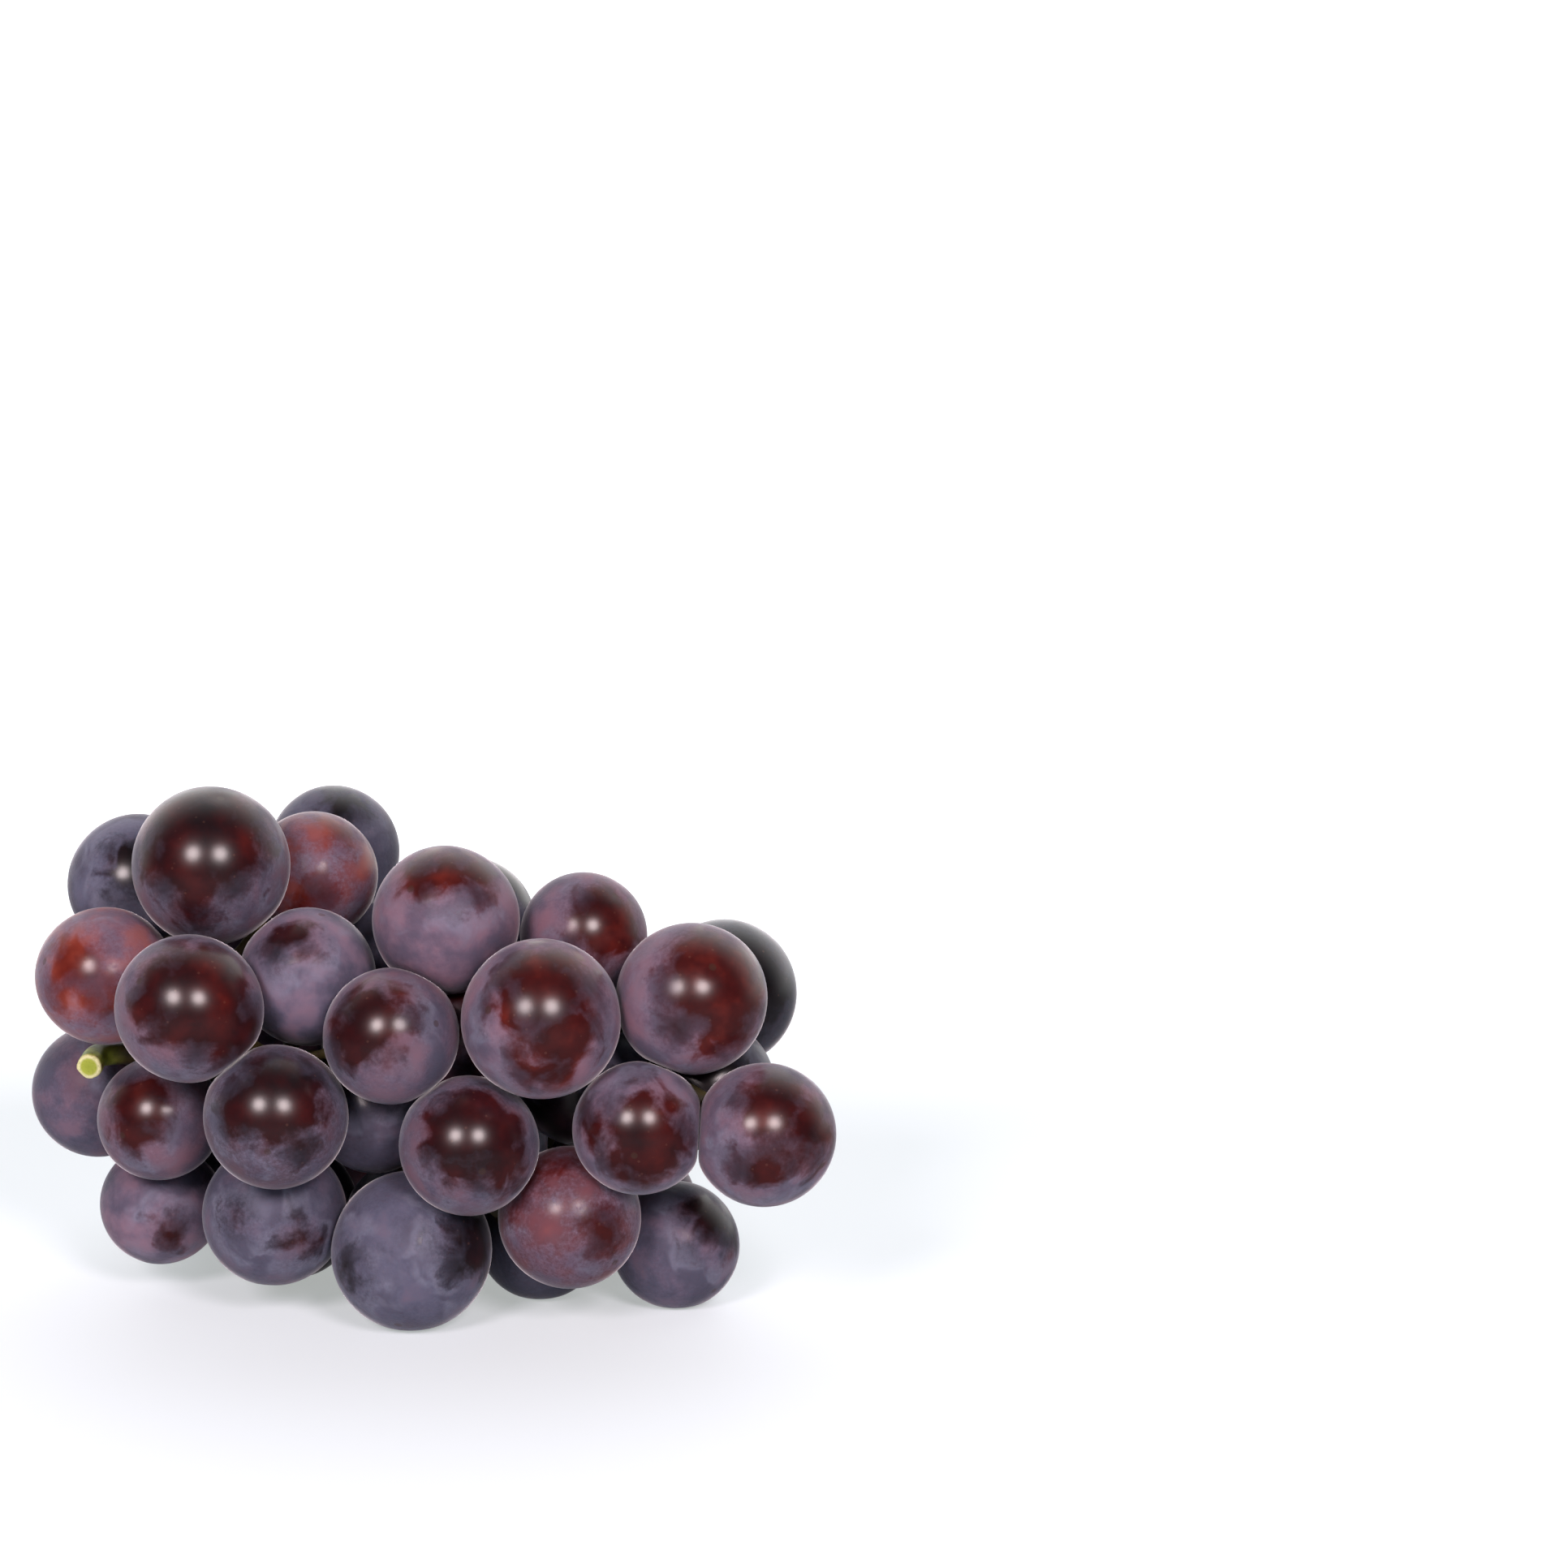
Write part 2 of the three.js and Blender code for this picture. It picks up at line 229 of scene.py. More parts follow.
# The berries of the near side: across, up, depth, width and look.
NEAR_BERRIES: tuple[tuple[float, float, float, float, Look], ...] = (
    (-29.6, 63.3, -12, 21.6, Look(0.42, 0.80, ((-0.15, 0.42, 51), (-0.25, -0.45, 12)), 0.6)),
    (-39.7, 60.8, 3, 19.1, Look(0.12, 0.95, ((-0.08, 0.32, 20),), 0.3)),
    (-44.1, 48.3, -12, 18.7, Look(0.84, 0.93, ((-0.42, 0.15, 24), (-0.25, -0.32, 15), (-0.6, -0.2, 14)), 0.6)),
    (-32.8, 43.8, -24, 20.2, Look(0.48, 0.90, ((0.05, 0.16, 50), (0.60, -0.30, 28)), 0.5)),
    (-16.8, 48.2, -12, 18.7, Look(0.38, 0.95, ((-0.45, 0.52, 14), (-0.12, 0.60, 16)), 0.2)),
    (-15.8, 62.0, 0, 17.4, Look(0.80, 0.88, ((0.0, -0.35, 13), (0.42, 0.66, 9)), 0.9)),
    (-13.1, 65.2, 18, 17.8, Look(0.06, 0.80, ((0.1, 0.75, 20),), 0.4)),
    (2.1, 55.8, -13, 20.1, Look(0.58, 0.90, ((-0.30, 0.62, 20), (0.05, 0.72, 22), (0.42, 0.60, 17)), 0.3)),
    (20.8, 53.9, -10, 17.4, Look(0.56, 0.92, ((0.38, 0.20, 36),), 0.4)),
    (-5.3, 40.2, -26, 18.6, Look(0.42, 0.88, ((-0.38, 0.15, 38),), 0.5)),
    (14.9, 42.4, -27, 22.0, Look(0.58, 0.93, ((0.12, 0.34, 42), (0.16, -0.25, 32), (0.12, -0.62, 20)), 0.3)),
    (35.4, 45.2, -22, 20.6, Look(0.58, 0.93, ((0.38, 0.20, 48), (0.45, -0.35, 30), (-0.18, -0.42, 12)), 0.4)),
    (39.8, 45.8, -2, 20.0, Look(0.05, 0.35, ((0.2, 0.1, 50),), 0.4)),
    (45.0, 26.8, -18, 19.4, Look(0.52, 0.92, ((0.18, 0.45, 30), (0.60, 0.10, 32), (-0.10, -0.45, 16)), 0.4)),
    (28.3, 27.5, -30, 18.4, Look(0.48, 0.94, ((0.10, -0.22, 42), (-0.66, 0.08, 20), (0.10, 0.50, 10)), 0.3)),
    (33.3, 11.8, -14, 17.4, Look(0.34, 0.90, ((0.60, 0.32, 24),), 0.4)),
    (18.9, 15.6, -24, 19.4, Look(0.62, 0.88, ((0.50, -0.20, 18), (-0.62, 0.50, 16), (-0.1, 0.75, 12)), 0.9)),
    (14.7, 12.2, -10, 17.0, Look(0.06, 0.60, (), 0.5)),
    (-45.0, 32.8, 2, 18.0, Look(0.46, 1.0, ((0.5, 0.6, 18),), 0.5)),
    (-36.7, 29.0, -11, 17.0, Look(0.52, 0.86, ((-0.42, 0.12, 32),), 0.5)),
    (-21.0, 29.3, -27, 19.8, Look(0.36, 0.94, ((0.08, 0.32, 42), (-0.40, 0.10, 24), (0.35, -0.42, 15)), 0.8)),
    (-36.5, 17.5, -4, 16.6, Look(0.50, 0.98, ((0.15, -0.52, 15),), 0.3)),
    (-21.1, 16.0, -14, 19.4, Look(0.26, 1.0, ((0.34, -0.35, 9), (-0.55, -0.10, 7)), 0.5)),
    (-2.6, 11.0, -22, 21.8, Look(0.16, 0.98, ((0.80, 0.10, 25), (-0.75, -0.20, 9)), 0.4)),
    (-7.6, 30.0, -12, 17.0, Look(0.32, 0.66, ((-0.1, 0.6, 28),), 0.4)),
    (5.2, 25.3, -30, 19.2, Look(0.40, 0.94, ((0.05, 0.14, 45), (0.55, -0.25, 24)), 0.6)),
    (38.0, 33.5, -2, 17.6, Look(0.10, 0.50, ((0.0, 0.0, 30),), 0.4)),
)


class Layout:
    """The places of the berries, by the rule that the solids follow."""

    PRESS = 1.2  # how deep two berries press into each other
    CLEARANCE = 0.35  # between the stem and the berries
    FOOT_SINK = 0.6  # how far the surface flattens a berry
    AXIS = ([-43.0, 1.0, 38.0], [40.0, 1.0, 27.0])
    CORE = 13.0  # a berry is drawn to the axis until its centre is this near
    FARTHEST = 28.0  # how far back a berry's centre may lie
    FAR_LEFT = -34.0  # how far to either side a centre of the far side may lie
    FAR_RIGHT = 33.0

    # The far side: places are tried by chance in shells round the axis, each of a share of the bunch's girth.
    FAR_SEED = 20
    SHELLS = (1.0, 0.6)
    TRIES = 600  # in each shell
    SHELL_WIDE = 26.0  # how far from the axis the whole girth reaches, at the cut end and at the tip
    SHELL_NARROW = 19.0
    SHELL_FLATNESS = 0.92
    TAKEN_SHARE = 0.8  # the share of their radii nearer than which two berries would be in each other's place
    FAR_WIDTH = 18.8
    FAR_WIDTH_SPREAD = 2.6

    # Settling: what a round does to each berry or pair.
    SETTLE_ROUNDS = 900
    DRAW_REACH = 4.0  # the widest gap over which two berries are drawn together
    DRAW_SHARE = 0.04
    BOND_SHARE = 1.0
    INWARD = 0.01
    WEIGHT = 0.05
    KEEP_PLACE = 0.7
    KEEP_DEPTH = 0.03

    # The side branches, each a turn further round the axis than the last.
    SPRAY_COUNT = 8
    SPRAY_TURN = math.radians(144)
    SPRAY_REACH = 20.0
    SIZE_WEIGHT = 4.0  # how many millimetres nearer a berry has to be for each berry that a spray already has

    def __init__(self, eye: Eye) -> None:
        """Lays the berries out and settles them.

        Args:
            eye: the eye that sees the near side.
        """
        near = [eye.seen(*row[:4]) for row in NEAR_BERRIES]
        self.berries = near + self.far_berries(near)
        for number, berry in enumerate(self.berries):
            berry.number = number
        self.settle([])
        self.sprays = self.share_out()
        self.settle([bond for spray in self.sprays for bond in spray.bonds])

    def on_axis(self, point: Sequence[float]) -> Point:
        """The point of the bunch's axis nearest to a given point.

        Args:
            point: the point.

        Returns:
            The point of the axis.
        """
        start, end = self.AXIS
        line = minus(end, start)
        share = dot(line, minus(point, start)) / dot(line, line)
        return plus(start, line, min(max(share, 0.0), 1.0))

    def round_axis(self, along: float, angle: float, reach: float) -> Point:
        """A point round the axis: along runs from 0 at the cut end to 1 at the tip, angle is 0 at the top."""
        x, y, z = lerp(*self.AXIS, along)
        return [x, y + reach * math.sin(angle), z + reach * math.cos(angle) * self.SHELL_FLATNESS]

    def far_berries(self, near: list[Berry]) -> list[Berry]:
        """The berries of the far side: each place tried that no berry has taken yet gets one.

        Args:
            near: the berries of the near side.

        Returns:
            Those of the far side.
        """
        draw = repeating_draw(self.FAR_SEED)
        far: list[Berry] = []
        for attempt in range(self.TRIES * len(self.SHELLS)):
            shell = self.SHELLS[attempt // self.TRIES]
            radius = (self.FAR_WIDTH + self.FAR_WIDTH_SPREAD * (draw() - 0.5)) / 2
            along = draw()
            reach = shell * (self.SHELL_WIDE + (self.SHELL_NARROW - self.SHELL_WIDE) * along)
            centre = self.round_axis(along, 2 * math.pi * draw(), reach)
            centre[2] = max(centre[2], radius - self.FOOT_SINK)
            taken = any(
                length(minus(other.centre, centre)) < self.TAKEN_SHARE * (other.radius + radius)
                for other in near + far
            )
            if not taken:
                far.append(Berry(centre, radius))
        return far

    def adjust(self, a: Berry, b: Berry, draw_share: float) -> None:
        """Moves two berries apart until they press as they should, or together by a share of what they lack.

        Args:
            a: the one berry.
            b: the other.
            draw_share: the share, where they are to be drawn together.
        """
        ax, ay, az = a.centre
        bx, by, bz = b.centre
        x, y, z = bx - ax, by - ay, bz - az
        reach = math.sqrt(x * x + y * y + z * z)
        excess = a.radius + b.radius - reach - self.PRESS
        share = excess / 2 * (1.0 if excess > 0 else draw_share) / reach
        x, y, z = x * share, y * share, z * share
        a.centre[:] = (ax - x, ay - y, az - z)
        b.centre[:] = (bx + x, by + y, bz + z)

    def settle(self, bonds: list[tuple[Berry, Berry]]) -> None:
        """Settles the berries.

        Args:
            bonds: the pairs that are drawn together until they press.
        """
        berries = self.berries
        pairs = [
            (a, b, (a.radius + b.radius + self.DRAW_REACH) ** 2)
            for i, a in enumerate(berries)
            for b in berries[i + 1 :]
        ]
        for _ in range(self.SETTLE_ROUNDS):
            for a, b in bonds:
                self.adjust(a, b, self.BOND_SHARE)
            for a, b, reach in pairs:
                ax, ay, az = a.centre
                bx, by, bz = b.centre
                if (bx - ax) ** 2 + (by - ay) ** 2 + (bz - az) ** 2 < reach:
                    self.adjust(a, b, self.DRAW_SHARE)
            for berry in berries:
                self.draw_back(berry)

    def draw_back(self, berry: Berry) -> None:
        """Draws a berry inwards, and back to where it shows or down to the surface.

        Args:
            berry: the berry.
        """
        inward = minus(self.on_axis(berry.centre), berry.centre)
        pull = min(self.INWARD, length(inward) - self.CORE)
        centre = plus(berry.centre, unit(inward), pull)
        if berry.sight:
            off = minus(centre, berry.home)
            deeper = dot(off, berry.sight)
            off = plus(off, berry.sight, -deeper)
            centre = plus(plus(centre, off, -self.KEEP_PLACE), berry.sight, -self.KEEP_DEPTH * deeper)
        else:
            centre[2] -= self.WEIGHT
            centre[0] = min(max(centre[0], self.FAR_LEFT), self.FAR_RIGHT)
        centre[2] = max(centre[2], berry.radius - self.FOOT_SINK)
        centre[1] = min(centre[1], self.FARTHEST)
        berry.centre[:] = centre

    def can_press(self, a: Berry, b: Berry) -> bool:
        """Whether two berries can be brought to press: two that are seen keep the distance that shows.

        Args:
            a: the one berry.
            b: the other.

        Returns:
            Whether they can.
        """
        if -a.press(b) > self.DRAW_REACH:
            return False
        if not a.sight or not b.sight:
            return True
        line = minus(b.centre, a.centre)
        return length(plus(line, a.sight, -dot(line, a.sight))) < a.radius + b.radius - self.PRESS

    def share_out(self) -> list[Spray]:
        """Shares the berries out among the side branches. Each grows from berry to berry, the smallest first.

        Returns:
            The sprays, in their order along the main stem.
        """
        sprays = [
            Spray(i, self.round_axis((i + 0.5) / self.SPRAY_COUNT, i * self.SPRAY_TURN, self.SPRAY_REACH))
            for i in range(self.SPRAY_COUNT)
        ]

        def join(spray: Spray, berry: Berry) -> None:
            """Adds a berry to a spray, held by the member that it presses most.

            Args:
                spray: the spray.
                berry: the berry.
            """
            held = [member for member in spray.members if self.can_press(member, berry)]
            if held:
                spray.bonds.append((min(held, key=lambda member: -member.press(berry)), berry))
            spray.members.append(berry)
            berry.spray = spray.number

        def cost(step: tuple[Spray, Berry]) -> float:
            """How ill a berry suits a spray, more so the larger the spray is."""
            spray, berry = step
            return self.SIZE_WEIGHT * len(spray.members) + length(minus(spray.place, berry.centre))

        for spray in sprays:
            free = [berry for berry in self.berries if berry.spray is None]
            join(spray, min(free, key=lambda berry: length(minus(berry.centre, spray.place))))
        while True:
            steps = [
                (spray, berry)
                for spray in sprays
                for berry in self.berries
                if berry.spray is None and any(self.can_press(member, berry) for member in spray.members)
            ]
            if not steps:
                return sprays
            join(*min(steps, key=cost))


def repeating_draw(seed: int) -> Callable[[], float]:
    """A random draw that repeats.

    Args:
        seed: where it starts.

    Returns:
        A function of which each call gives the next number from 0 to 1.
    """
    state = seed

    def draw() -> float:
        """The next number."""
        nonlocal state
        state = (state * DRAW_FACTOR) % DRAW_RANGE
        return state / DRAW_RANGE

    return draw


# The lines of the stem, in millimetres.


def smooth_point(points: Sequence[Sequence[float]], along: float) -> Point:
    """A point of the centripetal Catmull-Rom curve through the points.

    Args:
        points: what the curve goes through.
        along: from 0 at the first point to 1 at the last.

    Returns:
        The point.
    """
    last = len(points) - 1
    place = last * along
    i = min(int(place), last - 1)
    share = place - i
    b, c = points[i], points[i + 1]
    a = points[i - 1] if i > 0 else plus(minus(b, c), b)
    d = points[i + 2] if i + 2 <= last else plus(minus(c, b), c)
    step_b = dot(minus(b, c), minus(b, c)) ** 0.25
    step_a = dot(minus(a, b), minus(a, b)) ** 0.25
    step_c = dot(minus(c, d), minus(c, d)) ** 0.25
    step_b = step_b if step_b >= 1e-4 else 1.0
    step_a = step_a if step_a >= 1e-4 else step_b
    step_c = step_c if step_c >= 1e-4 else step_b
    found = []
    for p, q, r, s in zip(a, b, c, d):
        leave = ((q - p) / step_a - (r - p) / (step_a + step_b) + (r - q) / step_b) * step_b
        reach = ((r - q) / step_b - (s - q) / (step_b + step_c) + (s - r) / step_c) * step_b
        square = -3 * q + 3 * r - 2 * leave - reach
        cube = 2 * q - 2 * r + leave + reach
        found.append(q + leave * share + square * share**2 + cube * share**3)
    return found


@dataclass(frozen=True)
class StemLine:
    """One tube of the stem: the points it runs through, and its radii from its start to its end."""

    points: list[Point]
    radii: tuple[float, ...]


class StemLayout:
    """The lines of the stem, bent clear of the berries by the rule that the solids follow."""

    MAIN_STEM = (
        (-45.3, -14.5, 33.7),
        (-44.2, -9.0, 33.9),
        (-36.0, 0.0, 37.0),
        (-18.0, 2.0, 34.5),
        (8.0, 0.0, 32.0),
        (29.0, 1.0, 29.0),
    )
    MAIN_RADII = (1.75, 1.6, 1.5, 1.4, 1.2, 0.9)
    BRANCH_RADII = (1.2, 1.0, 0.95)
    STALK_RADII = (0.75, 0.7, 0.75, 1.5)
    BRANCH_SHARE = 0.4  # how far a branch reaches from the main stem to the middle of its berries
    BEND_POINTS = 2  # between the ends of a branch or stalk
    BEND_ROUNDS = 60
    FORK_RADIUS = 1.9
    MAIN_STEPS = 60  # in which the place of each branch on the main stem is looked for

    def __init__(self, layout: Layout) -> None:
        """Works out every line of the stem.

        Args:
            layout: the berries.
        """
        self.berries = layout.berries
        cut, *inside = [list(point) for point in self.MAIN_STEM]
        main = [cut, *self.bend_clear(inside, self.MAIN_RADII[0])]
        self.lines = [StemLine(main, self.MAIN_RADII)]
        self.forks: list[Point] = []
        steps = [smooth_point(main, i / self.MAIN_STEPS) for i in range(self.MAIN_STEPS + 1)]
        for spray in layout.sprays:
            count = len(spray.members)
            middle = [sum(berry.centre[k] for berry in spray.members) / count for k in range(3)]
            start = min(steps, key=lambda point: length(minus(point, middle)))
            hub = lerp(start, middle, self.BRANCH_SHARE)
            self.push_out(hub, self.BRANCH_RADII[0] + Layout.CLEARANCE)
            branch = self.bend_clear(self.between(start, hub), self.BRANCH_RADII[0])
            self.lines.append(StemLine(branch, self.BRANCH_RADII))
            self.forks.append(hub)
            for berry in spray.members:
                reach = berry.radius + Layout.CLEARANCE
                end = plus(berry.centre, unit(minus(hub, berry.centre)), reach)
                stalk = self.bend_clear(self.between(hub, end), self.STALK_RADII[0], berry)
                berry.stalk = unit(minus(stalk[-1], berry.centre))
                self.lines.append(StemLine(stalk, self.STALK_RADII))

    def push_out(self, point: Point, distance: float, own: Optional[Berry] = None) -> None:
        """Pushes a point out of every berry but its own.

        Args:
            point: the point, which is changed.
            distance: how far from the skin it then is.
            own: its own berry.
        """
        for berry in self.berries:
            away = minus(point, berry.centre)
            short = berry.radius + distance - length(away)
            if short > 0 and berry is not own:
                point[:] = plus(point, unit(away), short)

    def bend_clear(self, points: list[Point], girth: float, own: Optional[Berry] = None) -> list[Point]:
        """Bends a line clear of the berries. With an own berry, its last point slides on that berry's skin.

        Args:
            points: the line, which is changed.
            girth: its radius.
            own: the berry that it holds.

        Returns:
            The line.
        """
        for _ in range(self.BEND_ROUNDS):
            for i in range(1, len(points) - 1):
                middle = lerp(points[i - 1], points[i + 1], 0.5)
                points[i] = lerp(points[i], middle, 0.5)
                self.push_out(points[i], girth + Layout.CLEARANCE)
            if own:
                end = points[-1]
                self.push_out(end, girth + Layout.CLEARANCE, own)
                away = unit(minus(end, own.centre))
                end[:] = plus(own.centre, away, own.radius + Layout.CLEARANCE)
        return points

    def between(self, start: Sequence[float], end: Sequence[float]) -> list[Point]:
        """The points of a straight line from one point to another."""
        count = self.BEND_POINTS + 1
        return [lerp(start, end, i / count) for i in range(count + 1)]


# The materials.


def colour(code: str) -> tuple[float, float, float, float]:
    """The linear colour of an sRGB hex value.

    Args:
        code: the value, such as "#4a1512".

    Returns:
        Its red, green, blue and alpha.
    """
    parts = [int(code[i : i + 2], 16) / 255 for i in (1, 3, 5)]
    linear = [c / 12.92 if c <= 0.04045 else ((c + 0.055) / 1.055) ** 2.4 for c in parts]
    return (*linear, 1.0)


class Kind(Enum):
    """The kinds of nodes that the materials are made of: each one's type, and how it is set."""

    PLUS = ("ShaderNodeMath", {"operation": "ADD"})
    PLUS_TO_ONE = ("ShaderNodeMath", {"operation": "ADD", "use_clamp": True})
    MINUS = ("ShaderNodeMath", {"operation": "SUBTRACT"})
    TIMES = ("ShaderNodeMath", {"operation": "MULTIPLY"})
    TIMES_PLUS = ("ShaderNodeMath", {"operation": "MULTIPLY_ADD"})
    LARGER = ("ShaderNodeMath", {"operation": "MAXIMUM"})
    EACH_TIMES = ("ShaderNodeVectorMath", {"operation": "MULTIPLY"})
    LENGTH = ("ShaderNodeVectorMath", {"operation": "LENGTH"})
    RANGE = ("ShaderNodeMapRange", {})
    SOFT_RANGE = ("ShaderNodeMapRange", {"interpolation_type": "SMOOTHSTEP"})
    MIX = ("ShaderNodeMix", {"data_type": "RGBA"})
    RAMP = ("ShaderNodeValToRGB", {})
    NOISE = ("ShaderNodeTexNoise", {})
    CELLS = ("ShaderNodeTexVoronoi", {})
    BUMP = ("ShaderNodeBump", {})
    PLACE = ("ShaderNodeTexCoord", {})
    PARTS = ("ShaderNodeSeparateXYZ", {})
    ATTRIBUTE = ("ShaderNodeAttribute", {})
    RAY = ("ShaderNodeLightPath", {})


def feed(node: bpy.types.Node, inputs: dict[Union[int, str], object]) -> None:
    """Feeds inputs of a node.

    Args:
        node: the node.
        inputs: what each input gets, by its name or number: a value, a hex colour, a socket to link, or a
            node whose first output is linked.
    """
    for key, value in inputs.items():
        if isinstance(value, bpy.types.Node):
            value = next(output for output in value.outputs if output.enabled)
        if isinstance(value, bpy.types.NodeSocket):
            node.id_data.links.new(value, node.inputs[key])
        else:
            node.inputs[key].default_value = colour(value) if isinstance(value, str) else value


def add_node(
    tree: bpy.types.NodeTree,
    kind: Kind,
    *values: object,
    settings: Optional[dict[str, object]] = None,
    stops: Stops = (),
    **named: object,
) -> bpy.types.Node:
    """Adds a node with its settings and links.

    Args:
        tree: the node tree.
        kind: which kind of node.
        values: what the inputs get, in their order.
        settings: how it is set, besides what its kind says.
        stops: the stops of a ramp.
        named: what more inputs get, by their names with _ for a space.

    Returns:
        The node.
    """
    type_name, usual = kind.value
    node = tree.nodes.new(type_name)
    for name, value in (usual | (settings or {})).items():
        setattr(node, name, value)
    while stops and len(node.color_ramp.elements) < len(stops):
        node.color_ramp.elements.new(0.5)
    for i, (place, code) in enumerate(stops):
        node.color_ramp.elements[i].position = place
        node.color_ramp.elements[i].color = colour(code)
    used = [i for i, socket in enumerate(node.inputs) if socket.enabled]
    feed(node, dict(zip(used, values)))
    feed(node, {name.replace("_", " "): value for name, value in named.items()})
    return node


@dataclass(frozen=True)
class SkinPatterns:
    """The patterns that the layers of a berry's skin share.

    Attributes:
        place: the place on the bunch.
        clouds: broad clouds, from 0 to 1.
        smear: the waves in the edges of the rubbed patches, from 0 to 1.
        speckle: specks, from 0 to 1.
        tint: from 0, blue-black, to 1, light red.
        edge: how far inside a rubbed patch, below 0 outside it.
    """

    place: bpy.types.NodeSocket
    clouds: bpy.types.Node
    smear: bpy.types.Node
    speckle: bpy.types.Node
    tint: bpy.types.Node
    edge: bpy.types.Node


@dataclass(frozen=True)
class Scar:
    """A round scar on a berry, where the stalk held it or at its tip.

    Attributes:
        tone: its colour.
        strength: how much of that colour it takes on.
        width: where it ends and where it is whole, in radii from the line through the stalk.
        side: from the middle of the berry towards the scar's end of it, in radii along that line.
    """

    tone: str
    strength: float
    width: tuple[float, float]
    side: float


@dataclass(frozen=True)
class GrapeSkin:
    """Skin of a ripe dark table grape, grown, never wiped.

    The bare skin is smooth and glossy, maroon to blue-black over dark pulp. On it lies bloom, a film of fine
    wax plates, which scatters a grey-violet light and dulls the gloss. Berries that rub against each other or
    are touched lose it in patches, with smeared edges.
    """

    name: str = "bloomy grape skin"

    # The real sizes of the patterns.
    cloud_mm: float = 5.0
    smear_mm: float = 4.4
    speckle_mm: float = 0.55  # as fine as still shows
    grain_mm: float = 0.3  # real wax plates are far finer than this, which is drawn as fine as still shows
    dot_mm: float = 1.9  # from one pale dot of the skin to the next
    relief_mm: float = 0.12

    # How much the patterns move the ripeness of the skin and the edge of a rubbed patch.
    tint_clouds: float = 0.9
    edge_smear: float = 1.1
    edge_speckle: float = 0.16

    # Each range says where a pattern starts and ends its work, and then what comes of it at either end.
    dots: Range = (0.13, 0.06, 0.0, 0.16)
    crispness: Range = (0.4, 0.62, 1.5, 5.5)
    cover: Range = (0.9, -0.9, 0.0, 1.0)
    thinness: Range = (0.1, -0.4, 0.7, 1.0)
    patchiness: Range = (0.48, 0.82, 0.0, 0.8)
    tone: Range = (0.36, 0.66, 0.0, 1.0)
    rosiness: Range = (0.82, 1.0, 0.0, 1.0)
    warmth: Range = (0.12, 0.62, 0.0, 1.0)
    piled_outside: Range = (-0.62, -0.3, 0.0, 1.0)
    piled_inside: Range = (0.0, -0.22, 0.0, 1.0)
    piled_smear: Range = (0.3, 0.68, 0.0, 0.6)
    gloss: Range = (0.0, 0.625, 0.72, 0.0)  # the share of the skin that is mirror-smooth, by its bloom

    patchy_speckle: float = 0.35
    warm_edge: float = 0.12
    least_film: float = 0.015
    bare_roughness: float = 0.34
    bloom_roughness: float = 0.5
    speckle_roughness: float = 0.12
    cloud_relief: float = 0.6

    bare_tones: Stops = (
        (0.0, "#0b070b"),
        (0.25, "#17080b"),
        (0.45, "#290405"),
        (0.62, "#3c0704"),
        (0.8, "#5c190e"),
        (1.0, "#7d3022"),
    )
    dot_tone: str = "#7a5442"
    slate: tuple[str, str] = ("#504e5f", "#6a6b82")
    lavender: tuple[str, str] = ("#6a5b6d", "#8e7587")
    rose: str = "#9a7278"
    piled_tone: str = "#84859a"
    scars: tuple[Scar, ...] = (
        Scar("#3a2a20", 0.5, (0.062, 0.04), -0.2),
        Scar("#6a5a3c", 0.7, (0.26, 0.16), 0.2),
    )

    def material(self) -> bpy.types.Material:
        """The material, with its gloss and relief.

        Returns:
            The material.
        """
        material = bpy.data.materials.new(self.name)
        material.use_nodes = True
        add = partial(add_node, material.node_tree)
        pattern = self.patterns(add)
        film = self.film(add, pattern)
        surface = add(Kind.MIX, film, self.bare_skin(add, pattern), self.bloom(add, pattern))
        duller = self.bloom_roughness - self.bare_roughness
        rough = add(Kind.TIMES_PLUS, film, duller, self.bare_roughness - self.speckle_roughness / 2)
        rough = add(Kind.TIMES_PLUS, pattern.speckle, self.speckle_roughness, rough)
        grain = add(Kind.NOISE, pattern.place, 1 / (self.grain_mm * MM))
        relief = add(Kind.TIMES_PLUS, grain, film, add(Kind.TIMES, pattern.clouds, self.cloud_relief))
        feed(
            material.node_tree.nodes["Principled BSDF"],
            {
                "Base Color": self.scarred(add, surface),
                "Roughness": rough,
                "IOR": 1.42,
                "Specular IOR Level": 0.1,
                "Normal": add(Kind.BUMP, Strength=0.35, Distance=self.relief_mm * MM, Height=relief),
                "Coat Weight": add(Kind.RANGE, film, *self.gloss),
                "Coat Roughness": 0.25,
                "Coat IOR": 1.52,
                "Subsurface Weight": 0.25,
                "Subsurface Radius": (1.0, 0.3, 0.25),
                "Subsurface Scale": 2.0 * MM,
                "Sheen Weight": 0.85,
                "Sheen Roughness": 0.23,
                "Sheen Tint": "#f4eef2",
            },
        )
        return material

    def patterns(self, add: Adder) -> SkinPatterns:
        """The patterns that the layers share.

        Args:
            add: adds a node to the material.

        Returns:
            The patterns.
        """
        place = add(Kind.PLACE).outputs["Object"]
        clouds = add(Kind.NOISE, place, 1 / (self.cloud_mm * MM), 3.0)
        smear = add(Kind.NOISE, place, 1 / (self.smear_mm * MM), 2.5, Distortion=0.7)
        speckle = add(Kind.NOISE, place, 1 / (self.speckle_mm * MM), 3.0, 0.65)
        riper = add(Kind.RANGE, clouds, 0.0, 1.0, -self.tint_clouds / 2, self.tint_clouds / 2)
        tint = add(Kind.PLUS_TO_ONE, self.own(add, "ripe"), riper)
        edge = add(Kind.TIMES_PLUS, smear, self.edge_smear, self.own(add, "rub"))
        edge = add(Kind.TIMES_PLUS, speckle, self.edge_speckle, edge)
        edge = add(Kind.MINUS, edge, (self.edge_smear + self.edge_speckle) / 2)
        return SkinPatterns(place, clouds, smear, speckle, tint, edge)

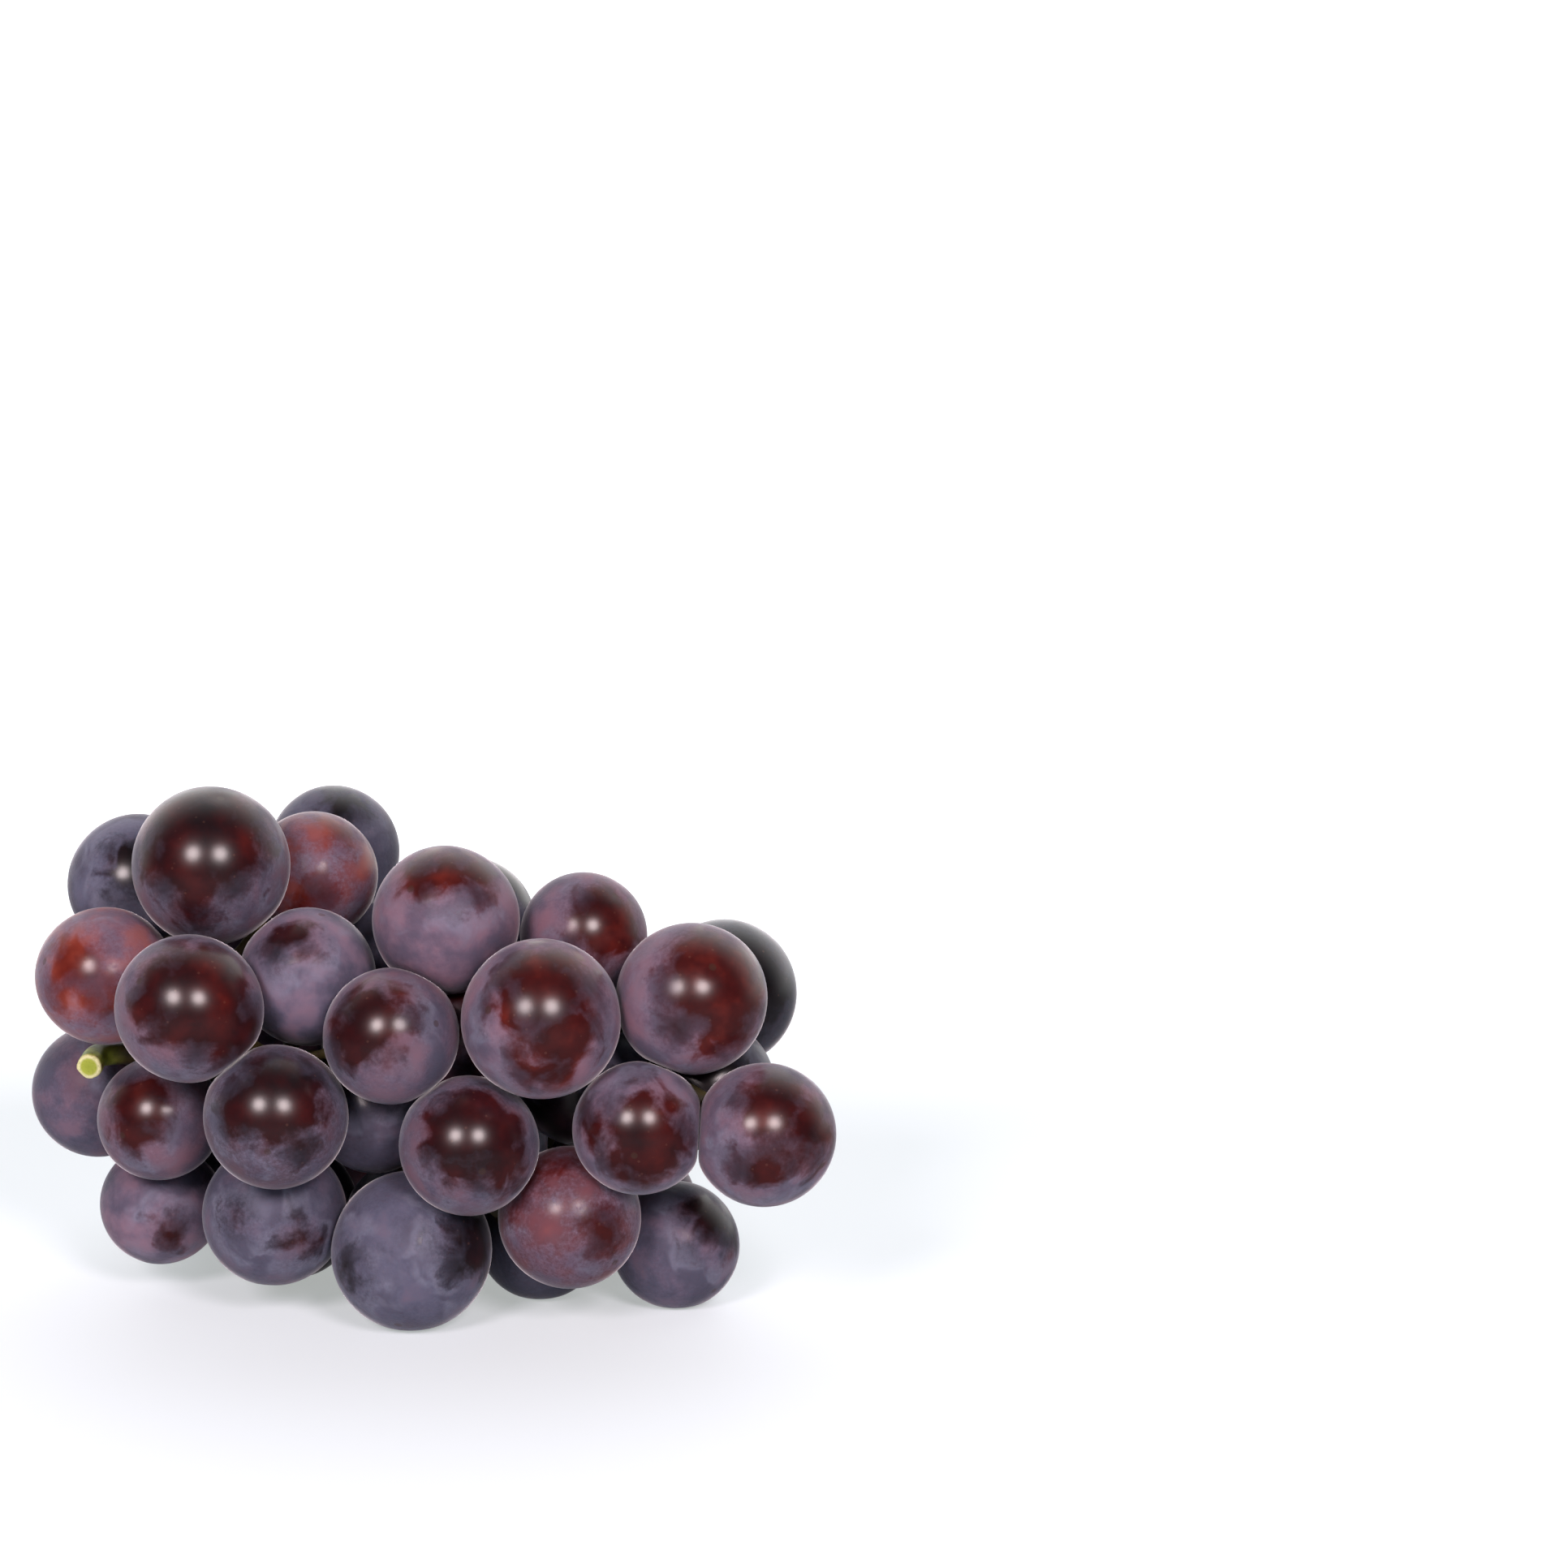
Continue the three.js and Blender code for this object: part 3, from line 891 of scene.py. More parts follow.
    @staticmethod
    def own(add: Adder, name: str) -> bpy.types.NodeSocket:
        """The number of that name that each point of a berry's skin holds."""
        return add(Kind.ATTRIBUTE, settings={"attribute_name": name}).outputs["Fac"]

    def bare_skin(self, add: Adder, pattern: SkinPatterns) -> bpy.types.Node:
        """The colour of the bare skin, with its fine pale dots.

        Args:
            add: adds a node to the material.
            pattern: the patterns that the layers share.

        Returns:
            The node that gives it.
        """
        cells = add(Kind.CELLS, pattern.place, 1 / (self.dot_mm * MM))
        skin = add(Kind.RAMP, pattern.tint, stops=self.bare_tones)
        return add(Kind.MIX, add(Kind.SOFT_RANGE, cells, *self.dots), skin, self.dot_tone)

    def film(self, add: Adder, pattern: SkinPatterns) -> bpy.types.Node:
        """How much bloom covers the skin, from 0 to 1.

        Args:
            add: adds a node to the material.
            pattern: the patterns that the layers share.

        Returns:
            The node that gives it.
        """
        crisp = add(Kind.RANGE, pattern.clouds, *self.crispness)
        covered = add(Kind.SOFT_RANGE, add(Kind.TIMES, pattern.edge, crisp), *self.cover)
        mottled = add(Kind.TIMES_PLUS, pattern.speckle, self.patchy_speckle, pattern.clouds)
        patches = add(Kind.SOFT_RANGE, mottled, *self.patchiness)
        film = add(Kind.TIMES, covered, add(Kind.SOFT_RANGE, pattern.edge, *self.thinness))
        film = add(Kind.TIMES, film, self.own(add, "wax"))
        film = add(Kind.TIMES, film, add(Kind.MINUS, 1.0, add(Kind.TIMES, patches, self.own(add, "cloud"))))
        return add(Kind.LARGER, film, self.least_film)

    def bloom(self, add: Adder, pattern: SkinPatterns) -> bpy.types.Node:
        """The colour of the bloom: slate on dark skin, lavender on red skin, pale where a rub piled it up.

        Args:
            add: adds a node to the material.
            pattern: the patterns that the layers share.

        Returns:
            The node that gives it.
        """
        tone = add(Kind.SOFT_RANGE, pattern.clouds, *self.tone)
        lavender = add(Kind.MIX, tone, *self.lavender)
        lavender = add(Kind.MIX, add(Kind.SOFT_RANGE, pattern.tint, *self.rosiness), lavender, self.rose)
        warm = add(Kind.TIMES_PLUS, pattern.edge, self.warm_edge, pattern.tint)
        warm = add(Kind.SOFT_RANGE, warm, *self.warmth)
        bloom = add(Kind.MIX, warm, add(Kind.MIX, tone, *self.slate), lavender)
        piled = add(Kind.SOFT_RANGE, pattern.edge, *self.piled_outside)
        piled = add(Kind.TIMES, piled, add(Kind.SOFT_RANGE, pattern.edge, *self.piled_inside))
        piled = add(Kind.TIMES, piled, add(Kind.SOFT_RANGE, pattern.smear, *self.piled_smear))
        return add(Kind.MIX, piled, bloom, self.piled_tone)

    def scarred(self, add: Adder, surface: bpy.types.Node) -> bpy.types.Node:
        """Adds the corky ring where the stalk held the berry, and the small scar at its tip.

        Args:
            add: adds a node to the material.
            surface: the colour of the skin.

        Returns:
            The colour with the scars.
        """
        grown = add(Kind.ATTRIBUTE, settings={"attribute_name": "grown"}).outputs["Vector"]
        along = add(Kind.PARTS, grown).outputs["Z"]
        aside = add(Kind.LENGTH, add(Kind.EACH_TIMES, grown, (1.0, 1.0, 0.0)))
        for scar in self.scars:
            near = add(Kind.SOFT_RANGE, aside, *scar.width, 0.0, scar.strength)
            there = add(Kind.TIMES, near, add(Kind.SOFT_RANGE, along, 0.0, scar.side))
            surface = add(Kind.MIX, there, surface, scar.tone)
        return surface


@dataclass(frozen=True)
class GreenStem:
    """Fresh grape stem: a finely ridged, half-matt green skin, straw-brown in patches, with small warts.

    Where it was cut, it shows a pale cream ring of bark round a yellow-green, fibrous middle. Deep inside the
    bunch its bark is painted dark brown: painted shade where the berries hide it, partly the brown of older
    bark.
    """

    name: str = "fresh green grape stem"
    streak_mm: float = 2.4
    wart_mm: float = 0.9
    fibre_mm: float = 0.35  # real fibres are finer than this, which is drawn as fine as still shows
    relief_mm: float = 0.15
    warts: Range = (0.62, 0.72, 0.0, 1.0)
    fibres: Range = (0.5, 0.7, 0.0, 0.35)
    wart_relief: float = 0.6
    fibre_relief: float = 0.4
    roughness: float = 0.42
    wart_roughness: float = 0.2
    bark_tones: Stops = ((0.3, "#66761a"), (0.5, "#8c9a2a"), (0.68, "#a5a845"), (0.8, "#8f7a3c"))
    # the dark brown bark deep inside the bunch: painted shade, partly the brown of older bark
    painted_shade_tones: Stops = ((0.3, "#241a10"), (0.55, "#3a2c18"), (0.8, "#4c3520"))
    flesh_tones: Stops = ((0.0, "#8f9c2a"), (0.6, "#9fa838"), (0.78, "#d8d4a0"), (1.0, "#cfc98e"))
    wart_tone: str = "#6b4f2a"
    fibre_tone: str = "#6f7a26"

    def material(self) -> bpy.types.Material:
        """The material, with the cut face apart from the bark.

        Returns:
            The material.
        """
        material = bpy.data.materials.new(self.name)
        material.use_nodes = True
        add = partial(add_node, material.node_tree)
        place = add(Kind.PLACE).outputs["Object"]
        cut, middle, painted_shade = [
            add(Kind.ATTRIBUTE, settings={"attribute_name": name}).outputs["Fac"]
            for name in ("cut", "middle", "painted_shade")
        ]
        streak = add(Kind.NOISE, place, 1 / (self.streak_mm * MM), 4.0, 0.6)
        wart = add(Kind.NOISE, place, 1 / (self.wart_mm * MM))
        fibre = add(Kind.NOISE, place, 1 / (self.fibre_mm * MM))
        bark = add(Kind.RAMP, streak, stops=self.bark_tones)
        bark = add(Kind.MIX, add(Kind.SOFT_RANGE, wart, *self.warts), bark, self.wart_tone)
        # Painted shade: deep inside the bunch the bark turns dark brown.
        bark = add(Kind.MIX, painted_shade, bark, add(Kind.RAMP, streak, stops=self.painted_shade_tones))
        flesh = add(Kind.RAMP, middle, stops=self.flesh_tones)
        flesh = add(Kind.MIX, add(Kind.SOFT_RANGE, fibre, *self.fibres), flesh, self.fibre_tone)
        relief = add(Kind.TIMES_PLUS, wart, self.wart_relief, add(Kind.TIMES, fibre, self.fibre_relief))
        feed(
            material.node_tree.nodes["Principled BSDF"],
            {
                "Base Color": add(Kind.MIX, cut, bark, flesh),
                "Roughness": add(Kind.TIMES_PLUS, wart, self.wart_roughness, self.roughness),
                "IOR": 1.45,
                "Normal": add(Kind.BUMP, Strength=0.5, Distance=self.relief_mm * MM, Height=relief),
                "Subsurface Weight": 0.1,
                "Subsurface Radius": (0.6, 0.8, 0.2),
                "Subsurface Scale": 1.0 * MM,
            },
        )
        return material


@dataclass(frozen=True)
class WhitePaper:
    """White paper, matt, under the bunch and far behind it, lit so that it fades to plain white.

    It glows a little of itself. The camera sees it greyer near the bunch, and the gloss of the berries
    mirrors a darker one, as it would with a dark room behind the camera.
    """

    name: str = "white paper"
    tone: str = "#bec5ce"
    mirrored_tone: str = "#4c5055"
    glow_tone: str = "#f9fefb"
    near_glow: float = 0.36
    mirrored_glow: float = 0.3  # how much less of it the gloss mirrors
    back_glow: Range = (0.02, 0.35, 0.0, 0.7)  # by how far behind the bunch, in metres
    seen_glow: Range = (0.25, 0.7, 0.42, 1.02)  # by how far from the bunch, in metres

    def material(self) -> bpy.types.Material:
        """The material, of which the camera, the gloss and the light each see something else.

        Returns:
            The material.
        """
        material = bpy.data.materials.new(self.name)
        material.use_nodes = True
        add = partial(add_node, material.node_tree)
        ray = add(Kind.RAY).outputs
        place = add(Kind.PLACE).outputs["Object"]
        glow = add(Kind.TIMES_PLUS, ray["Is Glossy Ray"], -self.mirrored_glow, self.near_glow)
        back = add(Kind.PARTS, place).outputs["Y"]
        glow = add(Kind.PLUS, glow, add(Kind.SOFT_RANGE, back, *self.back_glow))
        shown = add(Kind.SOFT_RANGE, add(Kind.LENGTH, place), *self.seen_glow)
        shown = add(Kind.TIMES, ray["Is Camera Ray"], shown)
        feed(
            material.node_tree.nodes["Principled BSDF"],
            {
                "Base Color": add(Kind.MIX, ray["Is Glossy Ray"], self.tone, self.mirrored_tone),
                "Roughness": 0.7,
                "Emission Color": self.glow_tone,
                "Emission Strength": add(Kind.LARGER, shown, glow),
            },
        )
        return material


# The pieces.


def mesh_of(name: str, shape: bmesh.types.BMesh) -> bpy.types.Mesh:
    """Turns a bmesh into a mesh.

    Args:
        name: the mesh's name.
        shape: the bmesh, which is freed.

    Returns:
        The mesh.
    """
    mesh = bpy.data.meshes.new(name)
    shape.to_mesh(mesh)
    shape.free()
    return mesh


def place_object(name: str, data: bpy.types.ID) -> bpy.types.Object:
    """Puts an object into the scene.

    Args:
        name: its name.
        data: its mesh, light or camera.

    Returns:
        The object.
    """
    placed = bpy.data.objects.new(name, data)
    bpy.context.scene.collection.objects.link(placed)
    return placed


def points_of(mesh: bpy.types.Mesh) -> np.ndarray:
    """The places of a mesh's vertices.

    Args:
        mesh: the mesh.

    Returns:
        A row of x, y and z for each vertex.
    """
    places = np.empty(len(mesh.vertices) * 3, np.float32)
    mesh.vertices.foreach_get("co", places)
    return places.reshape(-1, 3).astype(float)


def add_attribute(mesh: bpy.types.Mesh, name: str, values: np.ndarray) -> None:
    """Gives each vertex of a mesh a number or a vector.

    Args:
        mesh: the mesh.
        name: the attribute's name.
        values: a number or a row of three for each vertex.
    """
    kind, key = ("FLOAT", "value") if values.ndim == 1 else ("FLOAT_VECTOR", "vector")
    mesh.attributes.new(name, kind, "POINT").data.foreach_set(key, values.astype(np.float32).ravel())


def finish_piece(piece: bpy.types.Object, node: str, material: bpy.types.Material) -> None:
    """Dresses a piece and tells what it stands for.

    Args:
        piece: the piece, in place.
        node: the solid that it replaces.
        material: its finish.
    """
    mesh = piece.data
    mesh.materials.append(material)
    mesh.polygons.foreach_set("use_smooth", [True] * len(mesh.polygons))
    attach(piece, "root")
    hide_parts(node)
    log.info("%s, %d faces, in place of %s", piece.name, len(mesh.polygons), node)


@dataclass
class Berries:
    """All berries, each a round closed skin, dented where its stalk sits and flat where others press."""

    layout: Layout
    eye: Eye
    shift: Point
    detail: int = 5  # of the geodesic faces, some 0.7 mm wide
    uneven: float = 0.007  # of the radius
    waves: tuple[float, ...] = (1.7, 2.6, 3.7)  # of the unevenness, each in radians a radius
    wave_start: float = 6.28  # how far a wave's start varies, in radians
    wave_sink: float = 0.3  # how much of a wave goes inwards on the whole
    dent_width: float = 0.30  # of the stalk's seat, in radii
    dent_depth: float = 0.055
    tip_width: float = 0.12
    tip_depth: float = 0.012
    crease_mm: float = 0.22  # how softly a flat place starts
    parting_mm: float = 0.02  # how far a flat place keeps from the middle of the press
    seed: int = 11

    # What chance gives a berry of the far side, each from one value to another.
    far_ripe: tuple[float, float] = (0.06, 0.76)
    far_wax: tuple[float, float] = (0.55, 0.95)
    far_cloud: tuple[float, float] = (0.3, 0.8)
    far_rub_off: tuple[float, float] = (-0.6, 0.6)
    far_rub_size: tuple[float, float] = (18.0, 52.0)
    far_most_rubs: int = 2

    def build(self, material: bpy.types.Material) -> None:
        """Builds every berry.

        Args:
            material: the grape skin.
        """
        draw = repeating_draw(self.seed)
        for berry in self.layout.berries:
            piece = self.skin(berry, draw)
            look = NEAR_BERRIES[berry.number][4] if berry.number < len(NEAR_BERRIES) else self.far_look(draw)
            self.dress(piece.data, berry, look)
            finish_piece(piece, f"spray_{berry.spray + 1}", material)

    def far_look(self, draw: Callable[[], float]) -> Look:
        """The look of a berry of the far side, by chance.

        Args:
            draw: the random draw.

        Returns:
            The look.
        """

        def chance(low: float, high: float) -> float:
            """A value from low to high."""
            return low + (high - low) * draw()

        count = 1 + int(self.far_most_rubs * draw())
        spans = (self.far_rub_off, self.far_rub_off, self.far_rub_size)
        rubs = tuple(tuple(chance(*span) for span in spans) for _ in range(count))
        return Look(chance(*self.far_ripe), chance(*self.far_wax), rubs, chance(*self.far_cloud))

    def skin(self, berry: Berry, draw: Callable[[], float]) -> bpy.types.Object:
        """The closed skin of one berry.

        Args:
            berry: the berry.
            draw: the random draw for its unevenness.

        Returns:
            The piece, in place.
        """
        shape = bmesh.new()
        bmesh.ops.create_icosphere(shape, subdivisions=self.detail, radius=1.0)
        mesh = mesh_of(f"berry_{berry.number + 1:02d}", shape)
        way = points_of(mesh)
        way /= np.linalg.norm(way, axis=1)[:, None]
        radius = np.full(len(way), berry.radius)
        for waves in self.waves:
            lean = np.array(unit([draw() - 0.5, draw() - 0.5, draw() - 0.5]))
            wave = np.sin(waves * (way @ lean) + self.wave_start * draw()) - self.wave_sink
            radius *= 1 + self.uneven * wave * (self.waves[0] / waves)
        aside = np.arccos(np.clip(way @ np.array(berry.stalk), -1, 1))
        radius *= 1 - self.dent_depth * np.exp(-((aside / self.dent_width) ** 2))
        radius *= 1 - self.tip_depth * np.exp(-(((math.pi - aside) / self.tip_width) ** 2))
        at = way * radius[:, None]
        for line, flat in self.flats(berry):
            over = (flat - at @ line) / self.crease_mm
            soft = flat - self.crease_mm * np.logaddexp(0, over)
            at += (soft - at @ line)[:, None] * line[None, :]
        at += np.array(berry.centre) + np.array(self.shift)
        mesh.vertices.foreach_set("co", (at * MM).astype(np.float32).ravel())
        return place_object(mesh.name, mesh)

    def flats(self, berry: Berry) -> Iterable[tuple[np.ndarray, float]]:
        """The planes that flatten a berry: one for each berry that presses it, and the surface.

        Args:
            berry: the berry.

        Yields:
            Each plane as its outward direction and its distance from the centre.
        """
        for other in self.layout.berries:
            if other is not berry and berry.press(other) > 0:
                line = minus(other.centre, berry.centre)
                reach = length(line)
                flat = (reach + (berry.radius**2 - other.radius**2) / reach) / 2
                yield np.array(unit(line)), flat - self.parting_mm
        yield np.array([0.0, 0.0, -1.0]), berry.centre[2] + self.shift[2]

    def dress(self, mesh: bpy.types.Mesh, berry: Berry, look: Look) -> None:
        """Gives the skin of a berry what its material reads.

        Args:
            mesh: the skin, in place.
            berry: the berry.
            look: how it looks.
        """
        at = points_of(mesh) / MM - np.array(self.shift) - np.array(berry.centre)
        way = at / np.linalg.norm(at, axis=1)[:, None]
        stalk = np.array(berry.stalk)
        side = np.array(unit(np.cross(stalk, (0.3, 0.5, 0.8))))
        grown = np.stack([way @ side, way @ np.cross(stalk, side), way @ stalk], axis=1)
        for name in ("ripe", "wax", "cloud"):
            add_attribute(mesh, name, np.full(len(way), getattr(look, name)))
        add_attribute(mesh, "rub", self.rubbed(way, berry, look))
        add_attribute(mesh, "grown", grown)

    def rubbed(self, way: np.ndarray, berry: Berry, look: Look) -> np.ndarray:
        """How far inside a rubbed patch each point of a berry's skin lies.

        Args:
            way: the directions of the points from the middle of the berry.
            berry: the berry.
            look: how it looks.

        Returns:
            The angle to the edge of the nearest patch, in radians, below 0 outside it and -2 far outside.
        """
        facing = unit(minus(self.eye.place(), berry.centre))
        if berry.home is None:
            facing = unit(minus(berry.centre, self.layout.on_axis(berry.centre)))
        across = unit(np.cross((0.0, 0.0, 1.0), facing) if abs(facing[2]) < 0.95 else (1.0, 0.0, 0.0))
        upward = np.cross(facing, across)
        rub = np.full(len(way), -2.0)
        for right, up, size in look.rubs:
            deep = math.sqrt(max(0.05, 1 - right**2 - up**2))
            middle = np.array(unit(right * np.array(across) + up * upward + deep * np.array(facing)))
            rub = np.maximum(rub, math.radians(size) - np.arccos(np.clip(way @ middle, -1, 1)))
        return rub


@dataclass
class Stem:
    """The stem: a ridged tube for each line, with swollen forks and seats, grown together into one skin."""

    lines: StemLayout
    shift: Point
    sides: int = 20
    step_mm: float = 0.6
    least_steps: int = 6
    ridges: int = 5
    ridge_depth: float = 0.035
    weave_mm: float = 0.3  # of the skin that joins the tubes
    cut_reach_mm: float = 2.5  # how far from its middle the cut face may reach
    cut_edge_mm: tuple[float, float] = (0.45, 0.15)  # how deep the cut face ends, and is whole
    painted_shade_start_mm: tuple[float, float] = (3.0, 7.0)  # how far from the cut the painted shade of the bark starts, and is full
    # how fully the bark deep inside takes on the painted shade
    brown: float = 0.95

    def build(self, material: bpy.types.Material) -> None:
        """Builds the stem.

        Args:
            material: the green stem.
        """
        shape = bmesh.new()
        for line in self.lines.lines:
            self.tube(shape, line)
        for fork in self.lines.forks:
            centre = Matrix.Translation(Vector(plus(fork, self.shift)) * MM)
            bmesh.ops.create_icosphere(
                shape, subdivisions=3, radius=self.lines.FORK_RADIUS * MM, matrix=centre
            )
        tubes = place_object("stem_tubes", mesh_of("stem_tubes", shape))
        remesh = tubes.modifiers.new("grown together", "REMESH")
        remesh.mode = "VOXEL"
        remesh.voxel_size = self.weave_mm * MM
        smooth = tubes.modifiers.new("smooth", "SMOOTH")
        smooth.factor = 0.5
        smooth.iterations = 2
        mesh = bpy.data.meshes.new_from_object(tubes.evaluated_get(bpy.context.evaluated_depsgraph_get()))
        mesh.name = "grape_stem"
        bpy.data.objects.remove(tubes)
        self.dress(mesh)
        finish_piece(place_object("grape_stem", mesh), "stem", material)

    def tube(self, shape: bmesh.types.BMesh, line: StemLine) -> None:
        """Adds the closed tube of one line.

        Args:
            shape: what it is added to.
            line: the line.
        """
        span = sum(length(minus(a, b)) for a, b in zip(line.points, line.points[1:]))
        steps = max(self.least_steps, round(span / self.step_mm))
        spots = [Vector(smooth_point(line.points, i / steps)) for i in range(steps + 1)]
        side = (spots[1] - spots[0]).normalized().orthogonal().normalized()
        ring = bmesh.ops.create_circle(shape, segments=self.sides, radius=1.0, cap_ends=False)["verts"]
        edges = list({edge for vert in ring for edge in vert.link_edges})
        first = edges
        for i, spot in enumerate(spots):
            if i:
                ring, edges = self.next_ring(shape, ring, edges)
            ahead = (spots[min(i + 1, steps)] - spots[max(i - 1, 0)]).normalized()
            side = (side - ahead * side.dot(ahead)).normalized()
            self.lay_ring(ring, spot, side, ahead.cross(side), self.girth(line, i / steps))
        bmesh.ops.contextual_create(shape, geom=first)
        bmesh.ops.contextual_create(shape, geom=edges)

    @staticmethod
    def next_ring(shape: bmesh.types.BMesh, ring: Ring, edges: Edges) -> tuple[Ring, Edges]:
        """Extrudes the next ring of a tube from its last one.

        Args:
            shape: the bmesh.
            ring: the last ring's vertices, in order.
            edges: the last ring's edges.

        Returns:
            The next ring's vertices, in the same order, and its edges.
        """
        made = bmesh.ops.extrude_edge_only(shape, edges=edges)["geom"]
        fresh = {part for part in made if isinstance(part, bmesh.types.BMVert)}
        partners = ([edge.other_vert(vert) for edge in vert.link_edges] for vert in ring)
        ordered = [next(other for other in others if other in fresh) for others in partners]
        return ordered, [part for part in made if isinstance(part, bmesh.types.BMEdge)]

    def lay_ring(self, ring: Ring, spot: Vector, side: Vector, other: Vector, girth: float) -> None:
        """Lays one ring of a tube round its line.

        Args:
            ring: the ring's vertices, in order.
            spot: the ring's middle.
            side: a direction across the line.
            other: the direction across the line and side.
            girth: the ring's radius.
        """
        for number, vert in enumerate(ring):
            angle = 2 * math.pi * number / len(ring)
            reach = girth * (1 + self.ridge_depth * math.cos(self.ridges * angle))
            off = side * (math.cos(angle) * reach) + other * (math.sin(angle) * reach)
            vert.co = (spot + off + Vector(self.shift)) * MM

    @staticmethod
    def girth(line: StemLine, share: float) -> float:
        """The radius of a line's tube.

        Args:
            line: the line.
            share: how far along, from 0 to 1.

        Returns:
            The radius there.
        """
        place = share * (len(line.radii) - 1)
        low = min(int(place), len(line.radii) - 2)
        return line.radii[low] + (line.radii[low + 1] - line.radii[low]) * (place - low)

    def dress(self, mesh: bpy.types.Mesh) -> None:
        """Marks the cut face, its rings and the bark deep inside, painted dark as shade, for the material.

        Args:
            mesh: the stem, in place.
        """
        main = self.lines.lines[0].points
        inward = np.array(unit(minus(smooth_point(main, 0.02), main[0])))
        off = points_of(mesh) / MM - np.array(self.shift) - np.array(main[0])
        depth = off @ inward
        aside = np.linalg.norm(off - depth[:, None] * inward[None, :], axis=1)
        end, whole = self.cut_edge_mm
        cut = np.where(aside < self.cut_reach_mm, np.clip((end - depth) / (end - whole), 0, 1), 0.0)
        start, turned = self.painted_shade_start_mm
        # painted shade: the farther from the cut, the darker the bark
        painted_shade = np.clip((np.linalg.norm(off, axis=1) - start) / (turned - start), 0, 1) * self.brown
        add_attribute(mesh, "cut", cut)
        add_attribute(mesh, "middle", np.clip(aside / self.lines.MAIN_RADII[0], 0, 1))
        add_attribute(mesh, "painted_shade", painted_shade)


